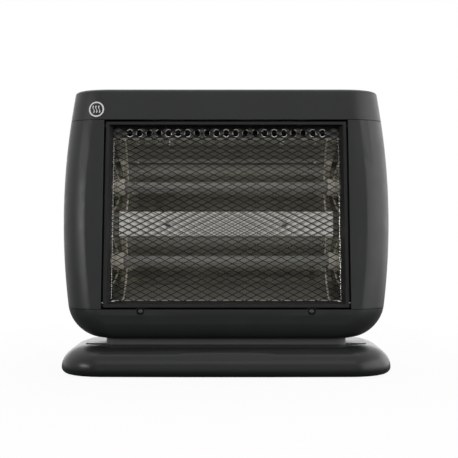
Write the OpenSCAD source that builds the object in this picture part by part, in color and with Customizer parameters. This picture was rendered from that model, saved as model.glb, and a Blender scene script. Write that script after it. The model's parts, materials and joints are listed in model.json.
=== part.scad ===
// Compact quartz heater: two quartz tubes in a double parabolic reflector behind an expanded-metal
// guard, in a plastic casing that leans back on a pillow-shaped base.
// X runs to the right, Y to the rear and Z up. The origin is on the floor under the base's centre.

/* [Base] */
// Width of the base at its widest line
base_w = 331; // [315:1:350]
// Depth of the base at its widest line
base_d = 150; // [144:1:170]
// Height of the deck above the floor
base_h = 30; // [29:0.5:36]
// Height of the widest line above the floor
belly_z = 7.5; // [6:0.5:11]
// Inset of the deck from the widest line
deck_inset = 28; // [20:1:32]
// Inset of the bottom edge from the widest line
sole_inset = 8; // [6:1:16]
// Plan radius of the base corners at the widest line
base_corner_r = 42; // [36:1:52]
// Forward bow of the middle of the base's front and rear edges
base_bow = 4; // [1:0.5:6]
// Height of the shallow step that frames the neck on the deck
step_h = 0.8; // [0.4:0.1:2]
// Width of the shallow step
step_w = 284; // [262:1:290]
// Depth of the shallow step
step_d = 64; // [58:1:70]
// Thickness of the plate that closes the base
plate_t = 2.2; // [1.6:0.1:3]
// Height of the rubber feet below the base plate
foot_h = 1.2; // [1:0.1:3]
// Radius of a rubber foot
foot_r = 8; // [5:0.5:10]
// Spacing of the feet from side to side
foot_dx = 236; // [200:1:244]
// Spacing of the feet from front to back
foot_dy = 84; // [70:1:88]

/* [Casing] */
// Width of the casing at its widest level
body_w = 334; // [320:1:350]
// Height of the top of the casing above the floor
body_top = 288; // [280:1:300]
// Height of the neck that shows between base and casing
neck_h = 6; // [4:0.5:10]
// Width of the neck
neck_w = 240; // [220:1:246]
// Distance of the neck's front from the centre
neck_front = 44; // [38:0.5:45]
// Distance of the neck's rear from the centre
neck_rear = 28; // [24:0.5:30]
// Wall of the plastic mouldings
wall = 2.6; // [2:0.1:3.2]
// Angle at which the front leans back
lean = 10; // [6:0.5:12]
// Distance of the front face from the centre at the casing's bottom
front_reach = 62; // [56:1:66]
// Distance of the rear face from the centre at the casing's bottom
rear_reach = 44; // [42:1:54]
// Angle at which the rear leans back
rear_lean = 2; // [1:0.5:3]
// Radius of the sideways bulge of the casing's flanks
flank_r = 700; // [500:10:1200]
// Height of the casing's widest level above the floor
flank_mid_z = 168; // [150:1:180]
// Plan radius of the casing's vertical corners
corner_r = 36; // [30:1:40]
// Height of the round that turns the flanks in under the casing
curl_h = 32; // [28:1:36]
// Width of that round at the sides
curl_side = 30; // [24:1:34]
// Width of that round at the front
curl_front = 17; // [14:0.5:17]
// Width of that round at the rear
curl_rear = 12; // [8:1:14]
// Height of the round along the top edge
crown_h = 3; // [2:0.5:6]
// Width of the round along the top edge
crown_w = 6; // [4:1:10]
// Gap in the seams between the mouldings
seam = 0.4; // [0.2:0.1:0.8]

/* [Window] */
// Width of each side panel beside the window
rail_w = 43.5; // [42:0.5:45]
// Height of the window's lower edge above the floor
win_lo = 66.5; // [65:0.5:68]
// Height of the window's upper edge above the floor
win_hi = 256.5; // [255:0.5:258]
// Depth of the window's return edges
return_d = 8; // [6:0.5:8.4]
// Gap between the window and the guard frame
guard_gap = 2; // [1:0.25:3]
// Thickness of the guard frame's sheet
guard_t = 1; // [0.8:0.1:1.2]
// Width of the guard frame's flat face
guard_face = 3; // [2:0.25:4]
// Width of the guard frame's bevel
guard_bevel = 3.5; // [2.5:0.25:4.5]
// Depth of the guard mesh behind the front
mesh_depth = 6; // [5:0.25:6.5]
// Thickness of the guard mesh
mesh_t = 0.8; // [0.6:0.1:1]
// Long pitch of the mesh's diamonds
mesh_dx = 12.2; // [11:0.1:14]
// Short pitch of the mesh's diamonds
mesh_dz = 6.25; // [5.5:0.05:8]
// Width of a mesh strand
strand = 1.1; // [0.8:0.1:1.4]

/* [Reflector] */
// Height of the reflector's axis above the floor, at the front
axis_z = 157; // [155:0.5:159]
// Distance of each tube from the reflector's axis
tube_offset = 38.5; // [37:0.5:40]
// Focal length of the parabolic troughs
focal = 12; // [11:0.25:13]
// Depth of the troughs' deepest lines behind the front
trough_depth = 48; // [47:0.5:50]
// Half height of the flat ridge between the troughs
ridge_half = 12.5; // [10:0.5:15]
// Half height of the reflector's mouth
mouth_half = 82; // [80:0.5:83]
// Distance from the window's side edge to the reflector's end
trough_inset = 16.5; // [15:0.5:19]
// Outward flare of each side plate from back to front
flare = 8.5; // [5:0.5:10]
// Thickness of the reflector's sheet
sheet_t = 0.8; // [0.6:0.1:1]
// Height of the vented strip above the mouth
vent_strip = 14; // [12:0.5:15]
// Width of a vent slot in the strip
vent_w = 5; // [4:0.25:6]
// Height of a vent slot in the strip
vent_h = 7; // [5:0.25:8]
// Pitch of the vent slots
vent_pitch = 9.8; // [9:0.1:12]

/* [Tubes] */
// Outer radius of a quartz tube
tube_r = 5.5; // [5:0.25:6]
// Wall of a quartz tube
tube_wall = 1.2; // [0.8:0.1:1.5]
// Radius of a ceramic end cap
cap_r = 8.9; // [8:0.1:10]
// Radius of the collar on an end cap
cap_collar_r = 11; // [10.2:0.1:12]
// Outer radius of a heating coil
coil_r = 3.5; // [3:0.1:3.8]
// Radius of the heating wire
wire_r = 0.45; // [0.3:0.05:0.6]
// Number of curls in a heating coil
coil_turns = 36; // [28:1:44]
// Radius of a terminal stud
stud_r = 2; // [1.5:0.1:2.5]

/* [Switches] */
// Distance of the switch pair's middle from the casing's right side
switch_inset = 70; // [66:1:78]
// Distance between the two switches
switch_pitch = 23; // [21.5:0.5:26]
// Length of a rocker, front to back
rocker_l = 17; // [15:0.5:18]
// Width of a rocker
rocker_w = 12; // [10:0.5:13]
// Angle between a rocker's two stops
rocker_swing = 20; // [14:1:24]
// Depth of the recess in the top
recess_d = 4; // [3.5:0.25:5]
// Radius of a rocker's pivot pins
pivot_r = 1.2; // [1:0.1:1.5]
// Running clearance round a moving shaft
running = 0.06; // [0.03:0.01:0.1]

/* [Tip switch] */
// Distance of the tip plunger from the base's left side
plunger_inset = 68; // [64:1:74]
// Radius of the tip plunger's foot
plunger_r = 5; // [4:0.25:6]
// Travel of the tip plunger when the heater is lifted
plunger_travel = 5; // [3:0.5:5]
// Radius of the tip plunger's stem
stem_r = 2.2; // [1.8:0.1:2.6]
// Radius of the plunger spring's wire
spring_wire_r = 0.3; // [0.25:0.05:0.35]

/* [Rear] */
// Width of the hand grip in the rear of the top
grip_w = 96; // [80:1:110]
// Height of the hand grip
grip_h = 16; // [14:0.5:17]
// Depth of the hand grip
grip_d = 20; // [16:0.5:24]
// Width of a vent slot in the rear cover
louvre_w = 84; // [60:1:90]
// Height of a vent slot in the rear cover
louvre_h = 4; // [3:0.25:5]
// Pitch of the vent slots in the rear cover
louvre_pitch = 9; // [8:0.25:12]
// Number of rows of vent slots in the rear cover
louvre_rows = 16; // [6:1:17]
// Distance of the cord inlet from the casing's centre
gland_x = -70; // [-90:1:-50]
// Height of the cord inlet above the floor
gland_z = 53; // [51:0.5:55]
// Radius of the cord inlet's bore
gland_bore_r = 3.3; // [2.5:0.1:4]

/* [Fasteners] */
// Radius of a screw's thread
screw_r = 1.7; // [1.5:0.1:2]
// Radius of a screw's head
screw_head_r = 3.3; // [3:0.1:3.6]
// Height of a screw's head
screw_head_h = 2; // [1.6:0.1:2.4]
// Radial clearance of a screw in a hole that it passes through
screw_play = 0.4; // [0.2:0.05:0.6]
// Radial clearance of pieces that fit in one another
fit = 0.2; // [0.1:0.05:0.3]
// Distance of the guard's screws from the window's side edges
guard_screw_inset = 39; // [30:0.5:50]

/* [Hidden] */
$fn = 48;
eps = 0.01;

black = "#343636";
dark = "#1d1e1e";
steel = "#c9cbcc";

win_w = body_w - 2 * rail_w;
trough_len = win_w - 2 * trough_inset;
switch_x = body_w / 2 - switch_inset;
plunger_x = plunger_inset - base_w / 2;
guard_screw_x = win_w / 2 - guard_screw_inset;

deck_z = base_h;
sole_z = foot_h - 0.2;
plate_z = foot_h;
body_bot = deck_z + step_h + neck_h;
corner_steps = 6;
axis_y = -front_reach + (axis_z - body_bot) * tan(lean);

// ---- Lofts ------------------------------------------------------------------------------------

// A closed skin through a stack of rings, each with the same number of points
module skin(rings) {
  n = len(rings[0]);
  last = len(rings) - 1;
  points = [for (ring = rings) each ring];
  bottom = [for (i = [0:n - 1]) i];
  top = [for (i = [n - 1:-1:0]) last * n + i];
  strips = [
    for (k = [0:last - 1], i = [0:n - 1])
      let (a = k * n + i, b = k * n + (i + 1) % n)
        each [[a, b + n, b], [a, a + n, b + n]]
  ];
  polyhedron(points, concat([bottom, top], strips));
}

// A quarter round in plan
function quarter(x, y, r, from) = [
  for (i = [0:corner_steps])
    let (a = from + 90 * i / corner_steps)
      [x + r * cos(a), y + r * sin(a)]
];

// A rounded rectangle at height z, whose front and rear edges bow outward in their middle
function ring(half_w, front, rear, r, z, bow = 0) =
  let (
    rim = half_w - r,
    along = bow == 0 ? [] : [for (i = [-2:2]) rim * i / 3],
    outline = concat(
      quarter(rim, rear - r, r, 0),
      [for (x = along) [-x, rear]],
      quarter(-rim, rear - r, r, 90),
      quarter(-rim, front + r, r, 180),
      [for (x = along) [x, front]],
      quarter(rim, front + r, r, 270)
    )
  )
    [for (p = outline) [p[0], p[1] + sign(p[1]) * bow * (1 - pow(p[0] / half_w, 2)), z]];

// ---- Base outline -----------------------------------------------------------------------------

// How far the base's side has drawn in at an angle from its widest line: -90 is the sole, 90 the deck
function base_in(a) = (a < 0 ? sole_inset : deck_inset) * (1 - cos(a));
function base_level(a, under) =
  a < 0 ? belly_z + (belly_z - sole_z) * sin(a) : belly_z + (base_h - under - belly_z) * sin(a);

base_angles = [-90, -60, -30, 0, 15, 30, 45, 60, 75, 90];

// The base's skin, drawn in by t all round and lowered by the same under the deck
module base_solid(t = 0) {
  skin([
    for (a = base_angles)
      let (
        inset = base_in(a) + t,
        front = base_d / 2 - base_bow - inset
      )
        ring(
          base_w / 2 - inset, -front, front, base_corner_r - inset,
          base_level(a, t) - (t > 0 && a == -90 ? 1 : 0), base_bow
        )
  ]);
}

// ---- Casing outline ---------------------------------------------------------------------------

// How far the casing has curled in under itself, and in at its crown, from 0 to 1
function curl(z) =
  z < body_bot + curl_h ? 1 - sqrt(1 - pow((body_bot + curl_h - z) / curl_h, 2)) : 0;
function crown(z) =
  z > body_top - crown_h ? 1 - sqrt(1 - pow((z - body_top + crown_h) / crown_h, 2)) : 0;

function bulge(z) = flank_r - sqrt(pow(flank_r, 2) - pow(z - flank_mid_z, 2));
function half_w(z) = body_w / 2 - bulge(z) - curl_side * curl(z) - crown_w * crown(z);
function front_plane(z) = -front_reach + (z - body_bot) * tan(lean);
function front_y(z) = front_plane(z) + curl_front * curl(z) + crown_w / 2 * crown(z);
function rear_plane(z) = rear_reach + (z - body_bot) * tan(rear_lean);
function rear_y(z) = rear_plane(z) - curl_rear * curl(z) - crown_w / 2 * crown(z);
function round_r(z) =
  min(corner_r - curl_rear * curl(z) - crown_w / 2 * crown(z), (rear_y(z) - front_y(z)) / 2 - 1);

body_levels = concat(
  [for (a = [0:15:90]) body_bot + curl_h * (1 - cos(a))],
  [for (i = [1:5]) body_bot + curl_h + (body_top - crown_h - body_bot - curl_h) * i / 6],
  [for (a = [0:22.5:90]) body_top - crown_h * (1 - sin(a))]
);

// The casing's skin, drawn in by t all round
module body_solid(t = 0) {
  skin([
    for (z = body_levels)
      ring(
        half_w(z) - t, front_y(z) + t / cos(lean), rear_y(z) - t, round_r(z) - t,
        body_bot + t + (z - body_bot) * (body_top - body_bot - 2 * t) / (body_top - body_bot)
      )
  ]);
}

// The casing between two corners: its wall, and the children where they lie inside it
module casing(from, to) {
  difference() {
    intersection() {
      body_solid();
      span(from, to);
    }
    difference() {
      body_solid(wall);
      children();
    }
  }
}

// A box between two corners
module span(from, to) {
  translate(from) cube(to - from);
}

// The frame of the leaning front: x to the right, y into the casing and z up the slope
module on_front() {
  translate([0, axis_y, axis_z]) rotate([-lean, 0, 0]) children();
}

// Extrusion along X, centred, of an outline drawn with its first axis to the rear and second up
module along_x(length) {
  rotate([90, 0, 90]) linear_extrude(length, center = true) children();
}

// Extrusion from the front face into the depth, of an outline drawn as seen from the front
module inward(depth) {
  mirror([0, 1, 0]) rotate([90, 0, 0]) linear_extrude(depth) children();
}

module rounded_rect(w, h, r) {
  square([w - 2 * r, h], center = true);
  square([w, h - 2 * r], center = true);
  for (x = [-1, 1], y = [-1, 1]) translate([x * (w / 2 - r), y * (h / 2 - r)]) circle(r);
}

module slot(w, h) {
  r = min(w, h) / 2;
  rounded_rect(w, h, r - eps);
}

// ---- Places shared by several pieces ----------------------------------------------------------

reach = 400;
slope_lo = (win_lo - axis_z) / cos(lean);
slope_hi = (win_hi - axis_z) / cos(lean);
cap_low = win_hi + seam / 2;
cap_high = win_lo - seam / 2;

// Guard frame: half width, and lower and upper edge up the slope
guard_half = win_w / 2 - guard_gap;
guard_lo = slope_lo + guard_gap;
guard_hi = slope_hi - guard_gap;
guard_set = 0.5;
tab_w = 12;
tab_drop = 11;
guard_screw_u = slope_lo - 2;
hook_x = 62;
hook_rise = 6;
guard_screw_len = 9;
mouth_screw_len = 5;
spacer_screw_len = 14;
rear_screw_len = 10;
base_screw_len = 12;
neck_screw_len = 15;
pilot_r = screw_r + 0.05;
pass_r = screw_r + screw_play;

// Reflector and tubes
tube_depth = trough_depth - focal;
mouth_depth = trough_depth - pow(mouth_half - tube_offset, 2) / (4 * focal);
guard_return = mouth_depth - 0.3;
ridge_depth = trough_depth - pow(tube_offset - ridge_half, 2) / (4 * focal);
flange_w = 21;
flange_x = trough_len / 2 + flare;
post_x = win_w / 2 + 7;
post_r = 4;
post_u = 58;
spacer_x = 60;
shield_depth = trough_depth + 6;
shield_side = 32;

// Switches
switch_y = 18;
pivot_z = body_top - recess_d - 0.8;
rocker_rise = 3.2;
rocker_reach = norm([rocker_l / 2 - 0.5, rocker_rise + rocker_l / 2 * tan(rocker_swing / 2)]);
frame_l = 2 * rocker_reach + 6.4;
frame_w = rocker_w + 8;
bezel_t = 1.5;
seat_l = frame_l - 3;
seat_w = frame_w - 3;
seat_d = 16;
function switch_at(side) = [side * switch_pitch / 2 + switch_x, switch_y, pivot_z];

// Base and tip switch
plate_top = plate_z + plate_t;
cup_top = plate_top + screw_head_h + 0.4;
deck_under = base_h - wall;
base_screw_dx = foot_dx - 86;
base_screw_dy = foot_dy - 8;
neck_screw_dx = neck_w - 50;
neck_d = neck_front + neck_rear;
neck_mid = (neck_rear - neck_front) / 2;
neck_screw_dy = neck_d - 30;
neck_corner_r = 10;
neck_post_r = 5;
neck_post_h = 9;
wire_hole = [60, 20];
sleeve_top = plate_top + 1.4;
collar_z = sleeve_top + plunger_travel + fit;
collar_t = 1.2;
collar_r = plunger_r + 1.8;
bridge_z = collar_z + collar_t + 5.4;
bridge_t = 1.4;
stem_top = bridge_z + bridge_t + 1.2;
switch_body = [13, 6, 6.5];

// ---- Casing -----------------------------------------------------------------------------------

// A shelf behind the front between two heights, that the window's edge returns on
module return_shelf(low, high) {
  span([-win_w / 2, -reach, low], [win_w / 2, front_plane(high) + return_d, high]);
}

// Clearance round a tongue of the guard frame at x, from one place up the slope to another
module tongue_notch(x, from, to) {
  on_front() span(
    [x - tab_w / 2 - 0.5, mesh_depth - 0.4, from],
    [x + tab_w / 2 + 0.5, mesh_depth + guard_t + 0.4, to]
  );
}

module top_cap() {
  grip_z = (cap_low + body_top) / 2 - 1;
  grip_y = rear_plane(grip_z);
  tray = [switch_pitch + frame_w + 5, frame_l + 5];
  tray_z = body_top - recess_d;
  color(black) difference() {
    casing([-reach, -reach, cap_low], [reach, reach, reach]) {
      return_shelf(cap_low, cap_low + wall);
      span(
        [-grip_w / 2 - 2, grip_y - grip_d - 2, grip_z - grip_h / 2 - 2],
        [grip_w / 2 + 2, reach, grip_z + grip_h / 2 + 2]
      );
      translate([switch_x, switch_y, tray_z - wall])
        linear_extrude(reach) rounded_rect(tray[0] + 2 * wall, tray[1] + 2 * wall, 5);
    }
    span(
      [-grip_w / 2, grip_y - grip_d, grip_z - grip_h / 2],
      [grip_w / 2, grip_y + 10, grip_z + grip_h / 2]
    );
    translate([switch_x, switch_y, tray_z])
      linear_extrude(recess_d + 5) rounded_rect(tray[0], tray[1], 3);
    for (side = [-1, 1])
      translate([switch_at(side)[0], switch_y, tray_z - wall / 2])
        cube([seat_w + 2 * fit, seat_l + 2 * fit, 2 * wall], center = true);
    for (side = [-1, 1]) tongue_notch(side * hook_x, slope_hi - 5, slope_hi + 20);
  }
}

// The right side panel; the left is its mirror image
module side_panel() {
  lip_x = win_w / 2;
  low = win_lo + seam / 2;
  high = win_hi - seam / 2;
  color(black) difference() {
    union() {
      casing([lip_x, -reach, low], [reach, reach, high]) on_front() {
        span([lip_x, 0, -reach], [lip_x + wall, return_d, reach]);
        for (u = [-post_u, post_u]) translate([post_x, 0, u]) inward(mouth_depth) circle(post_r);
      }
      intersection() {
        on_rear() {
          span([lip_x - 13, -wall - fit - 2.4, -reach], [lip_x + 8, -wall - fit, reach]);
          span([lip_x + seam, -wall - fit - 2.4, -reach], [lip_x + 8, -wall / 2, reach]);
        }
        span([0, 0, body_bot + curl_h + 2], [reach, reach, high]);
      }
      on_rear()
        for (u = rear_screw_u) translate([rear_screw_x, -wall - fit - 9, u]) inward(7) circle(4.2);
    }
    on_front()
      for (u = [-post_u, post_u])
        translate([post_x, wall + 0.8, u]) inward(mouth_depth) circle(pilot_r);
    on_rear()
      for (u = rear_screw_u) translate([rear_screw_x, -wall - fit - 12, u]) inward(12) circle(pilot_r);
  }
}

module side_panel_right() side_panel();
module side_panel_left() mirror([1, 0, 0]) side_panel();

// The frame of the rear face: x to the right, y out of the casing and z up the slope
module on_rear() {
  translate([0, rear_plane(axis_z), axis_z]) rotate([-rear_lean, 0, 0]) children();
}

rear_screw_x = win_w / 2 - 7;
rear_screw_u = [-76, 4, 84];

module rear_cover() {
  half = win_w / 2 - seam;
  color(black) difference() {
    casing([-half, 0, win_lo + seam / 2], [half, reach, win_hi - seam / 2]);
    on_rear() {
      for (x = [-1, 1], row = [0:louvre_rows - 1])
        translate([x * (louvre_w / 2 + 7), -10, (row - (louvre_rows - 1) / 2) * louvre_pitch + 4])
          inward(20) slot(louvre_w, louvre_h);
      for (x = [-1, 1], u = rear_screw_u)
        translate([x * rear_screw_x, -10, u]) inward(20) circle(pass_r);
    }
  }
}

module bottom_cap() {
  neck_z = deck_z + step_h;
  gland_y = rear_y(gland_z);
  color(black) difference() {
    union() {
      casing([-reach, -reach, -reach], [reach, reach, cap_high]) {
        return_shelf(cap_high - wall, cap_high + 1);
        on_front()
          for (x = [-guard_screw_x, guard_screw_x])
            translate([x, 0, guard_screw_u]) inward(mesh_depth - fit) circle(6);
        translate([gland_x, gland_y - gland_wall, gland_z]) inward(reach) circle(gland_boss_r);
        for (x = [-0.5, 0.5] * block_post_dx)
          translate([block_at[0] + x, block_at[1], 0]) cylinder(r = block_post_r, h = block_at[2]);
      }
      translate([0, neck_mid, neck_z])
        linear_extrude(neck_h + wall / 2) rounded_rect(neck_w, neck_d, neck_corner_r);
      neck_corners() translate([0, 0, neck_z]) cylinder(r = neck_post_r, h = neck_h + neck_post_h);
      translate([gland_x, gland_y - 1, gland_z]) inward(1 + gland_pad) circle(gland_boss_r);
    }
    difference() {
      translate([0, neck_mid, deck_z - 1])
        linear_extrude(step_h + 1 + neck_h)
          rounded_rect(neck_w - 2 * wall, neck_d - 2 * wall, neck_corner_r - wall);
      neck_corners() cylinder(r = neck_post_r, h = reach);
    }
    translate([0, 0, body_bot]) cube([wire_hole[0], wire_hole[1], 4 * wall], center = true);
    neck_corners() cylinder(r = pilot_r, h = body_bot + wall + 4);
    on_front()
      for (x = [-1, 1]) {
        translate([x * guard_screw_x, -5, guard_screw_u]) inward(7.4) circle(screw_head_r + 0.7);
        translate([x * guard_screw_x, 0, guard_screw_u]) inward(12) circle(pass_r);
      }
    for (x = [-1, 1]) tongue_notch(x * guard_screw_x, guard_lo - tab_drop - 1, slope_lo + 5);
    translate([gland_x, gland_y - 20, gland_z]) inward(30) circle(gland_neck_r + 0.15);
    translate([gland_x, gland_y - gland_wall - 16, gland_z]) inward(16) circle(gland_seat_r);
    translate([gland_x, gland_y + gland_pad, gland_z]) inward(10) circle(gland_seat_r);
  }
}
block_at = [-45, 12, body_bot + wall + 3];
block_w = 34;
block_d = 16;
block_h = 12;
block_pitch = 10;
block_post_dx = 22;
block_post_r = 3.5;
gland_neck_r = gland_bore_r + 2.5;
gland_flange_r = gland_neck_r + 2.2;
gland_seat_r = gland_flange_r + 3 * fit;
gland_boss_r = gland_seat_r + 1.4;
gland_wall = 4;
gland_pad = 0.6;

// ---- Base -------------------------------------------------------------------------------------

module corners(dx, dy) {
  for (x = [-dx / 2, dx / 2], y = [-dy / 2, dy / 2]) translate([x, y, 0]) children();
}

module neck_corners() {
  translate([0, neck_mid, 0]) corners(neck_screw_dx, neck_screw_dy) children();
}

module base_shell() {
  color(black) difference() {
    union() {
      difference() {
        base_solid();
        base_solid(wall);
      }
      translate([0, 0, base_h - wall / 2]) linear_extrude(wall / 2 + step_h) {
        rounded_rect(step_w, step_d, 9);
        translate([0, neck_mid]) rounded_rect(neck_w, neck_d, neck_corner_r);
      }
      corners(base_screw_dx, base_screw_dy)
        translate([0, 0, cup_top]) cylinder(r = 4.5, h = base_h - wall / 2 - cup_top);
    }
    neck_corners() cylinder(r = pass_r, h = base_h + 10);
    corners(base_screw_dx, base_screw_dy) cylinder(r = pilot_r, h = cup_top + 14);
    translate([0, 0, base_h]) cube([wire_hole[0], wire_hole[1], 4 * wall], center = true);
  }
}

module base_plate() {
  inset = sole_inset + 0.6;
  front = base_d / 2 - base_bow - inset;
  outline = ring(base_w / 2 - inset, -front, front, base_corner_r - inset, 0, base_bow);
  color(dark) difference() {
    union() {
      translate([0, 0, plate_z]) linear_extrude(plate_t) polygon([for (p = outline) [p[0], p[1]]]);
      corners(base_screw_dx, base_screw_dy)
        translate([0, 0, plate_z]) cylinder(r = screw_head_r + 2.2, h = cup_top - plate_z);
    }
    corners(base_screw_dx, base_screw_dy) {
      translate([0, 0, -1]) cylinder(r = screw_head_r + 0.4, h = 1 + plate_z + screw_head_h + 0.4);
      cylinder(r = pass_r, h = cup_top + 1);
    }
    corners(foot_dx, foot_dy) cylinder(r = foot_stem_r + fit, h = plate_top + 1);
    translate([plunger_x, 0, 0]) cylinder(r = plunger_r + 0.4, h = plate_top + 1);
  }
}
foot_stem_r = 2.6;

module rubber_feet() {
  color("#262626")
    corners(foot_dx, foot_dy) rotate_extrude()
      polygon([
        [0, 0], [foot_r - 0.5, 0], [foot_r, 0.5], [foot_r, plate_z], [foot_stem_r, plate_z],
        [foot_stem_r, plate_top + 1.2], [0, plate_top + 1.2]
      ]);
}

// ---- Guard ------------------------------------------------------------------------------------

// The guard frame's folded section: first the distance in from its outer edge, then the depth
guard_section =
  let (
    run = guard_bevel,
    drop = mesh_depth - 0.1 - guard_set,
    along = norm([run, drop]),
    back = guard_face + (guard_t - guard_t * along / run) * run / drop
  )
    [
      [0, guard_return], [0, guard_set], [guard_face, guard_set],
      [guard_face + run, guard_set + drop],
      [guard_face + run - guard_t * along / drop, guard_set + drop],
      [back, guard_set + guard_t], [guard_t, guard_set + guard_t], [guard_t, guard_return]
    ];

module mitred_frame(section, half, low, high) {
  n = len(section);
  signs = [[1, 1], [-1, 1], [-1, -1], [1, -1]];
  points = [
    for (s = signs, p = section)
      [s[0] * (half - p[0]), p[1], s[1] > 0 ? high - p[0] : low + p[0]]
  ];
  faces = [
    for (k = [0:3], i = [0:n - 1])
      let (j = (i + 1) % n, next = (k + 1) % 4)
        [k * n + i, k * n + j, next * n + j, next * n + i]
  ];
  polyhedron(points, faces);
}

module guard_frame() {
  color(dark) on_front() difference() {
    union() {
      mitred_frame(guard_section, guard_half, guard_lo, guard_hi);
      for (x = [-guard_screw_x, guard_screw_x])
        span(
          [x - tab_w / 2, mesh_depth, guard_lo - tab_drop],
          [x + tab_w / 2, mesh_depth + guard_t, guard_lo + guard_t / 2]
        );
      for (x = [-hook_x, hook_x])
        span(
          [x - tab_w / 2, mesh_depth, guard_hi - guard_t / 2],
          [x + tab_w / 2, mesh_depth + guard_t, guard_hi + hook_rise]
        );
    }
    for (x = [-guard_screw_x, guard_screw_x])
      translate([x, 0, guard_screw_u]) inward(20) circle(pilot_r);
  }
}

// A mesh opening, cut short where it would reach the sheet's side border
function diamond(x, z, p, q, limit) =
  let (
    s = x < 0 ? -1 : 1,
    a = abs(x),
    h = q * (1 - abs(limit - a) / p)
  )
    [
      for (
        c = a + p <= limit ? [[a - p, 0], [a, q], [a + p, 0], [a, -q]]
        : a < limit ? [[a - p, 0], [a, q], [limit, h], [limit, -h], [a, -q]]
        : [[a - p, 0], [limit, h], [limit, -h]]
      )
        [s * c[0], z + c[1]]
    ];

module guard_mesh() {
  half = guard_half - guard_t - 0.3;
  middle = (guard_lo + guard_hi) / 2;
  tall = guard_hi - guard_lo - 2 * guard_t - 0.6;
  border = half - 3;
  slant = norm([mesh_dx, mesh_dz]) / 2;
  p = mesh_dx / 2 - strand * slant / mesh_dz;
  q = mesh_dz / 2 - strand * slant / mesh_dx;
  cols = ceil(2 * border / mesh_dx);
  rows = ceil(tall / mesh_dz);
  color("#2a2b2b") on_front() translate([0, mesh_depth, middle]) inward(mesh_t) difference() {
    square([2 * half, tall], center = true);
    for (i = [-cols:cols], j = [-rows:rows])
      if ((i + j) % 2 == 0 && abs(i) * mesh_dx / 2 - p < border - 1
        && abs(j) * mesh_dz / 2 + q < tall / 2 - 0.6)
        polygon(diamond(i * mesh_dx / 2, j * mesh_dz / 2, p, q, border));
  }
}

module guard_screws() {
  color(steel) on_front()
    for (x = [-guard_screw_x, guard_screw_x])
      translate([x, 2.4 - screw_head_h, guard_screw_u]) screw(guard_screw_len);
}

// A pan-head screw: its head starts at the origin and the thread runs on along y
module screw(length) {
  inward(screw_head_h) difference() {
    circle(screw_head_r);
    square([screw_head_r, 0.8], center = true);
    square([0.8, screw_head_r], center = true);
  }
  translate([0, screw_head_h - 0.6, 0]) inward(0.6) circle(screw_head_r - 0.2);
  translate([0, screw_head_h - 0.1, 0]) inward(length + 0.1) circle(screw_r);
}

// ---- Reflector --------------------------------------------------------------------------------

// Depth of the trough's sheet at a place up the slope, and that sheet's slope
function trough(u) = trough_depth - pow(abs(u) - tube_offset, 2) / (4 * focal);
function trough_rake(u) = -(abs(u) - tube_offset) / (2 * focal);
trough_places = [for (i = [0:24]) ridge_half + (mouth_half - ridge_half) * i / 24];
trough_front = [for (u = trough_places) [trough(u), u]];
trough_back = [
  for (u = [for (i = [23:-1:1]) trough_places[i]])
    let (rake = trough_rake(u), n = norm([1, rake]))
      [trough(u) + sheet_t / n, u - sheet_t * rake / n]
];

function upside_down(points) = [for (i = [len(points) - 1:-1:0]) [points[i][0], -points[i][1]]];

// Half width of the reflector at a depth: its ends flare towards the front
function trough_end(depth) =
  trough_len / 2 + flare * (trough_depth - depth) / (trough_depth - mouth_depth);

module reflector() {
  strip_top = mouth_half + vent_strip;
  strip_low = -mouth_half - 6;
  vents = floor((trough_len - vent_w) / vent_pitch / 2);
  front = concat(
    [[mouth_depth, strip_low]], upside_down(trough_front), trough_front, [[mouth_depth, strip_top]]
  );
  back = concat(
    [[mouth_depth + sheet_t, strip_top], [mouth_depth + sheet_t, mouth_half + sheet_t]],
    trough_back,
    [[ridge_depth + sheet_t, ridge_half - sheet_t], [ridge_depth + sheet_t, sheet_t - ridge_half]],
    upside_down(trough_back),
    [[mouth_depth + sheet_t, -mouth_half - sheet_t], [mouth_depth + sheet_t, strip_low]]
  );
  end_front = trough_end(mouth_depth) - 0.2;
  end_back = trough_end(trough_depth + sheet_t) - 0.2;
  color(steel) on_front() difference() {
    intersection() {
      along_x(3 * trough_len) polygon(concat(front, back));
      translate([0, 0, -reach]) linear_extrude(2 * reach) polygon([
        [-end_front, 0], [-end_front, mouth_depth], [-end_back, trough_depth + sheet_t],
        [-end_back, reach], [end_back, reach], [end_back, trough_depth + sheet_t],
        [end_front, mouth_depth], [end_front, 0]
      ]);
    }
    for (i = [-vents:vents])
      translate([i * vent_pitch, mouth_depth - 1, mouth_half + vent_strip / 2])
        inward(3) slot(vent_w, vent_h);
    for (x = [-spacer_x, spacer_x]) translate([x, ridge_depth - 1, 0]) inward(4) circle(pass_r);
  }
}

// The right side plate: it closes the troughs' right end and its flange carries the reflector
module reflector_side() {
  closing = concat(
    [[mouth_depth, -mouth_half], [mouth_depth, mouth_half]],
    upside_down([for (p = trough_front) [p[0], -p[1]]]),
    [for (p = trough_front) [p[0], -p[1]]]
  );
  lean_in = norm([flare, trough_depth - mouth_depth]) / (trough_depth - mouth_depth);
  x_front = trough_end(mouth_depth);
  x_back = trough_end(trough_depth);
  color(steel) on_front() difference() {
    union() {
      intersection() {
        along_x(3 * trough_len) polygon(closing);
        translate([0, 0, -reach]) linear_extrude(2 * reach) polygon([
          [x_front, mouth_depth], [x_back, trough_depth],
          [x_back + sheet_t * lean_in, trough_depth], [x_front + sheet_t * lean_in, mouth_depth]
        ]);
      }
      span([x_front, mouth_depth, -mouth_half], [x_front + flange_w, mouth_depth + sheet_t, mouth_half]);
    }
    for (u = [-tube_offset, tube_offset])
      translate([trough_len / 2, tube_depth, u])
        rotate([0, 90, 0]) cylinder(r = cap_r + fit, h = trough_len / 2, center = true);
    for (u = [-post_u, post_u]) translate([post_x, 0, u]) inward(trough_depth) circle(pass_r);
  }
}

module reflector_side_right() reflector_side();
module reflector_side_left() mirror([1, 0, 0]) reflector_side();

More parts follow.
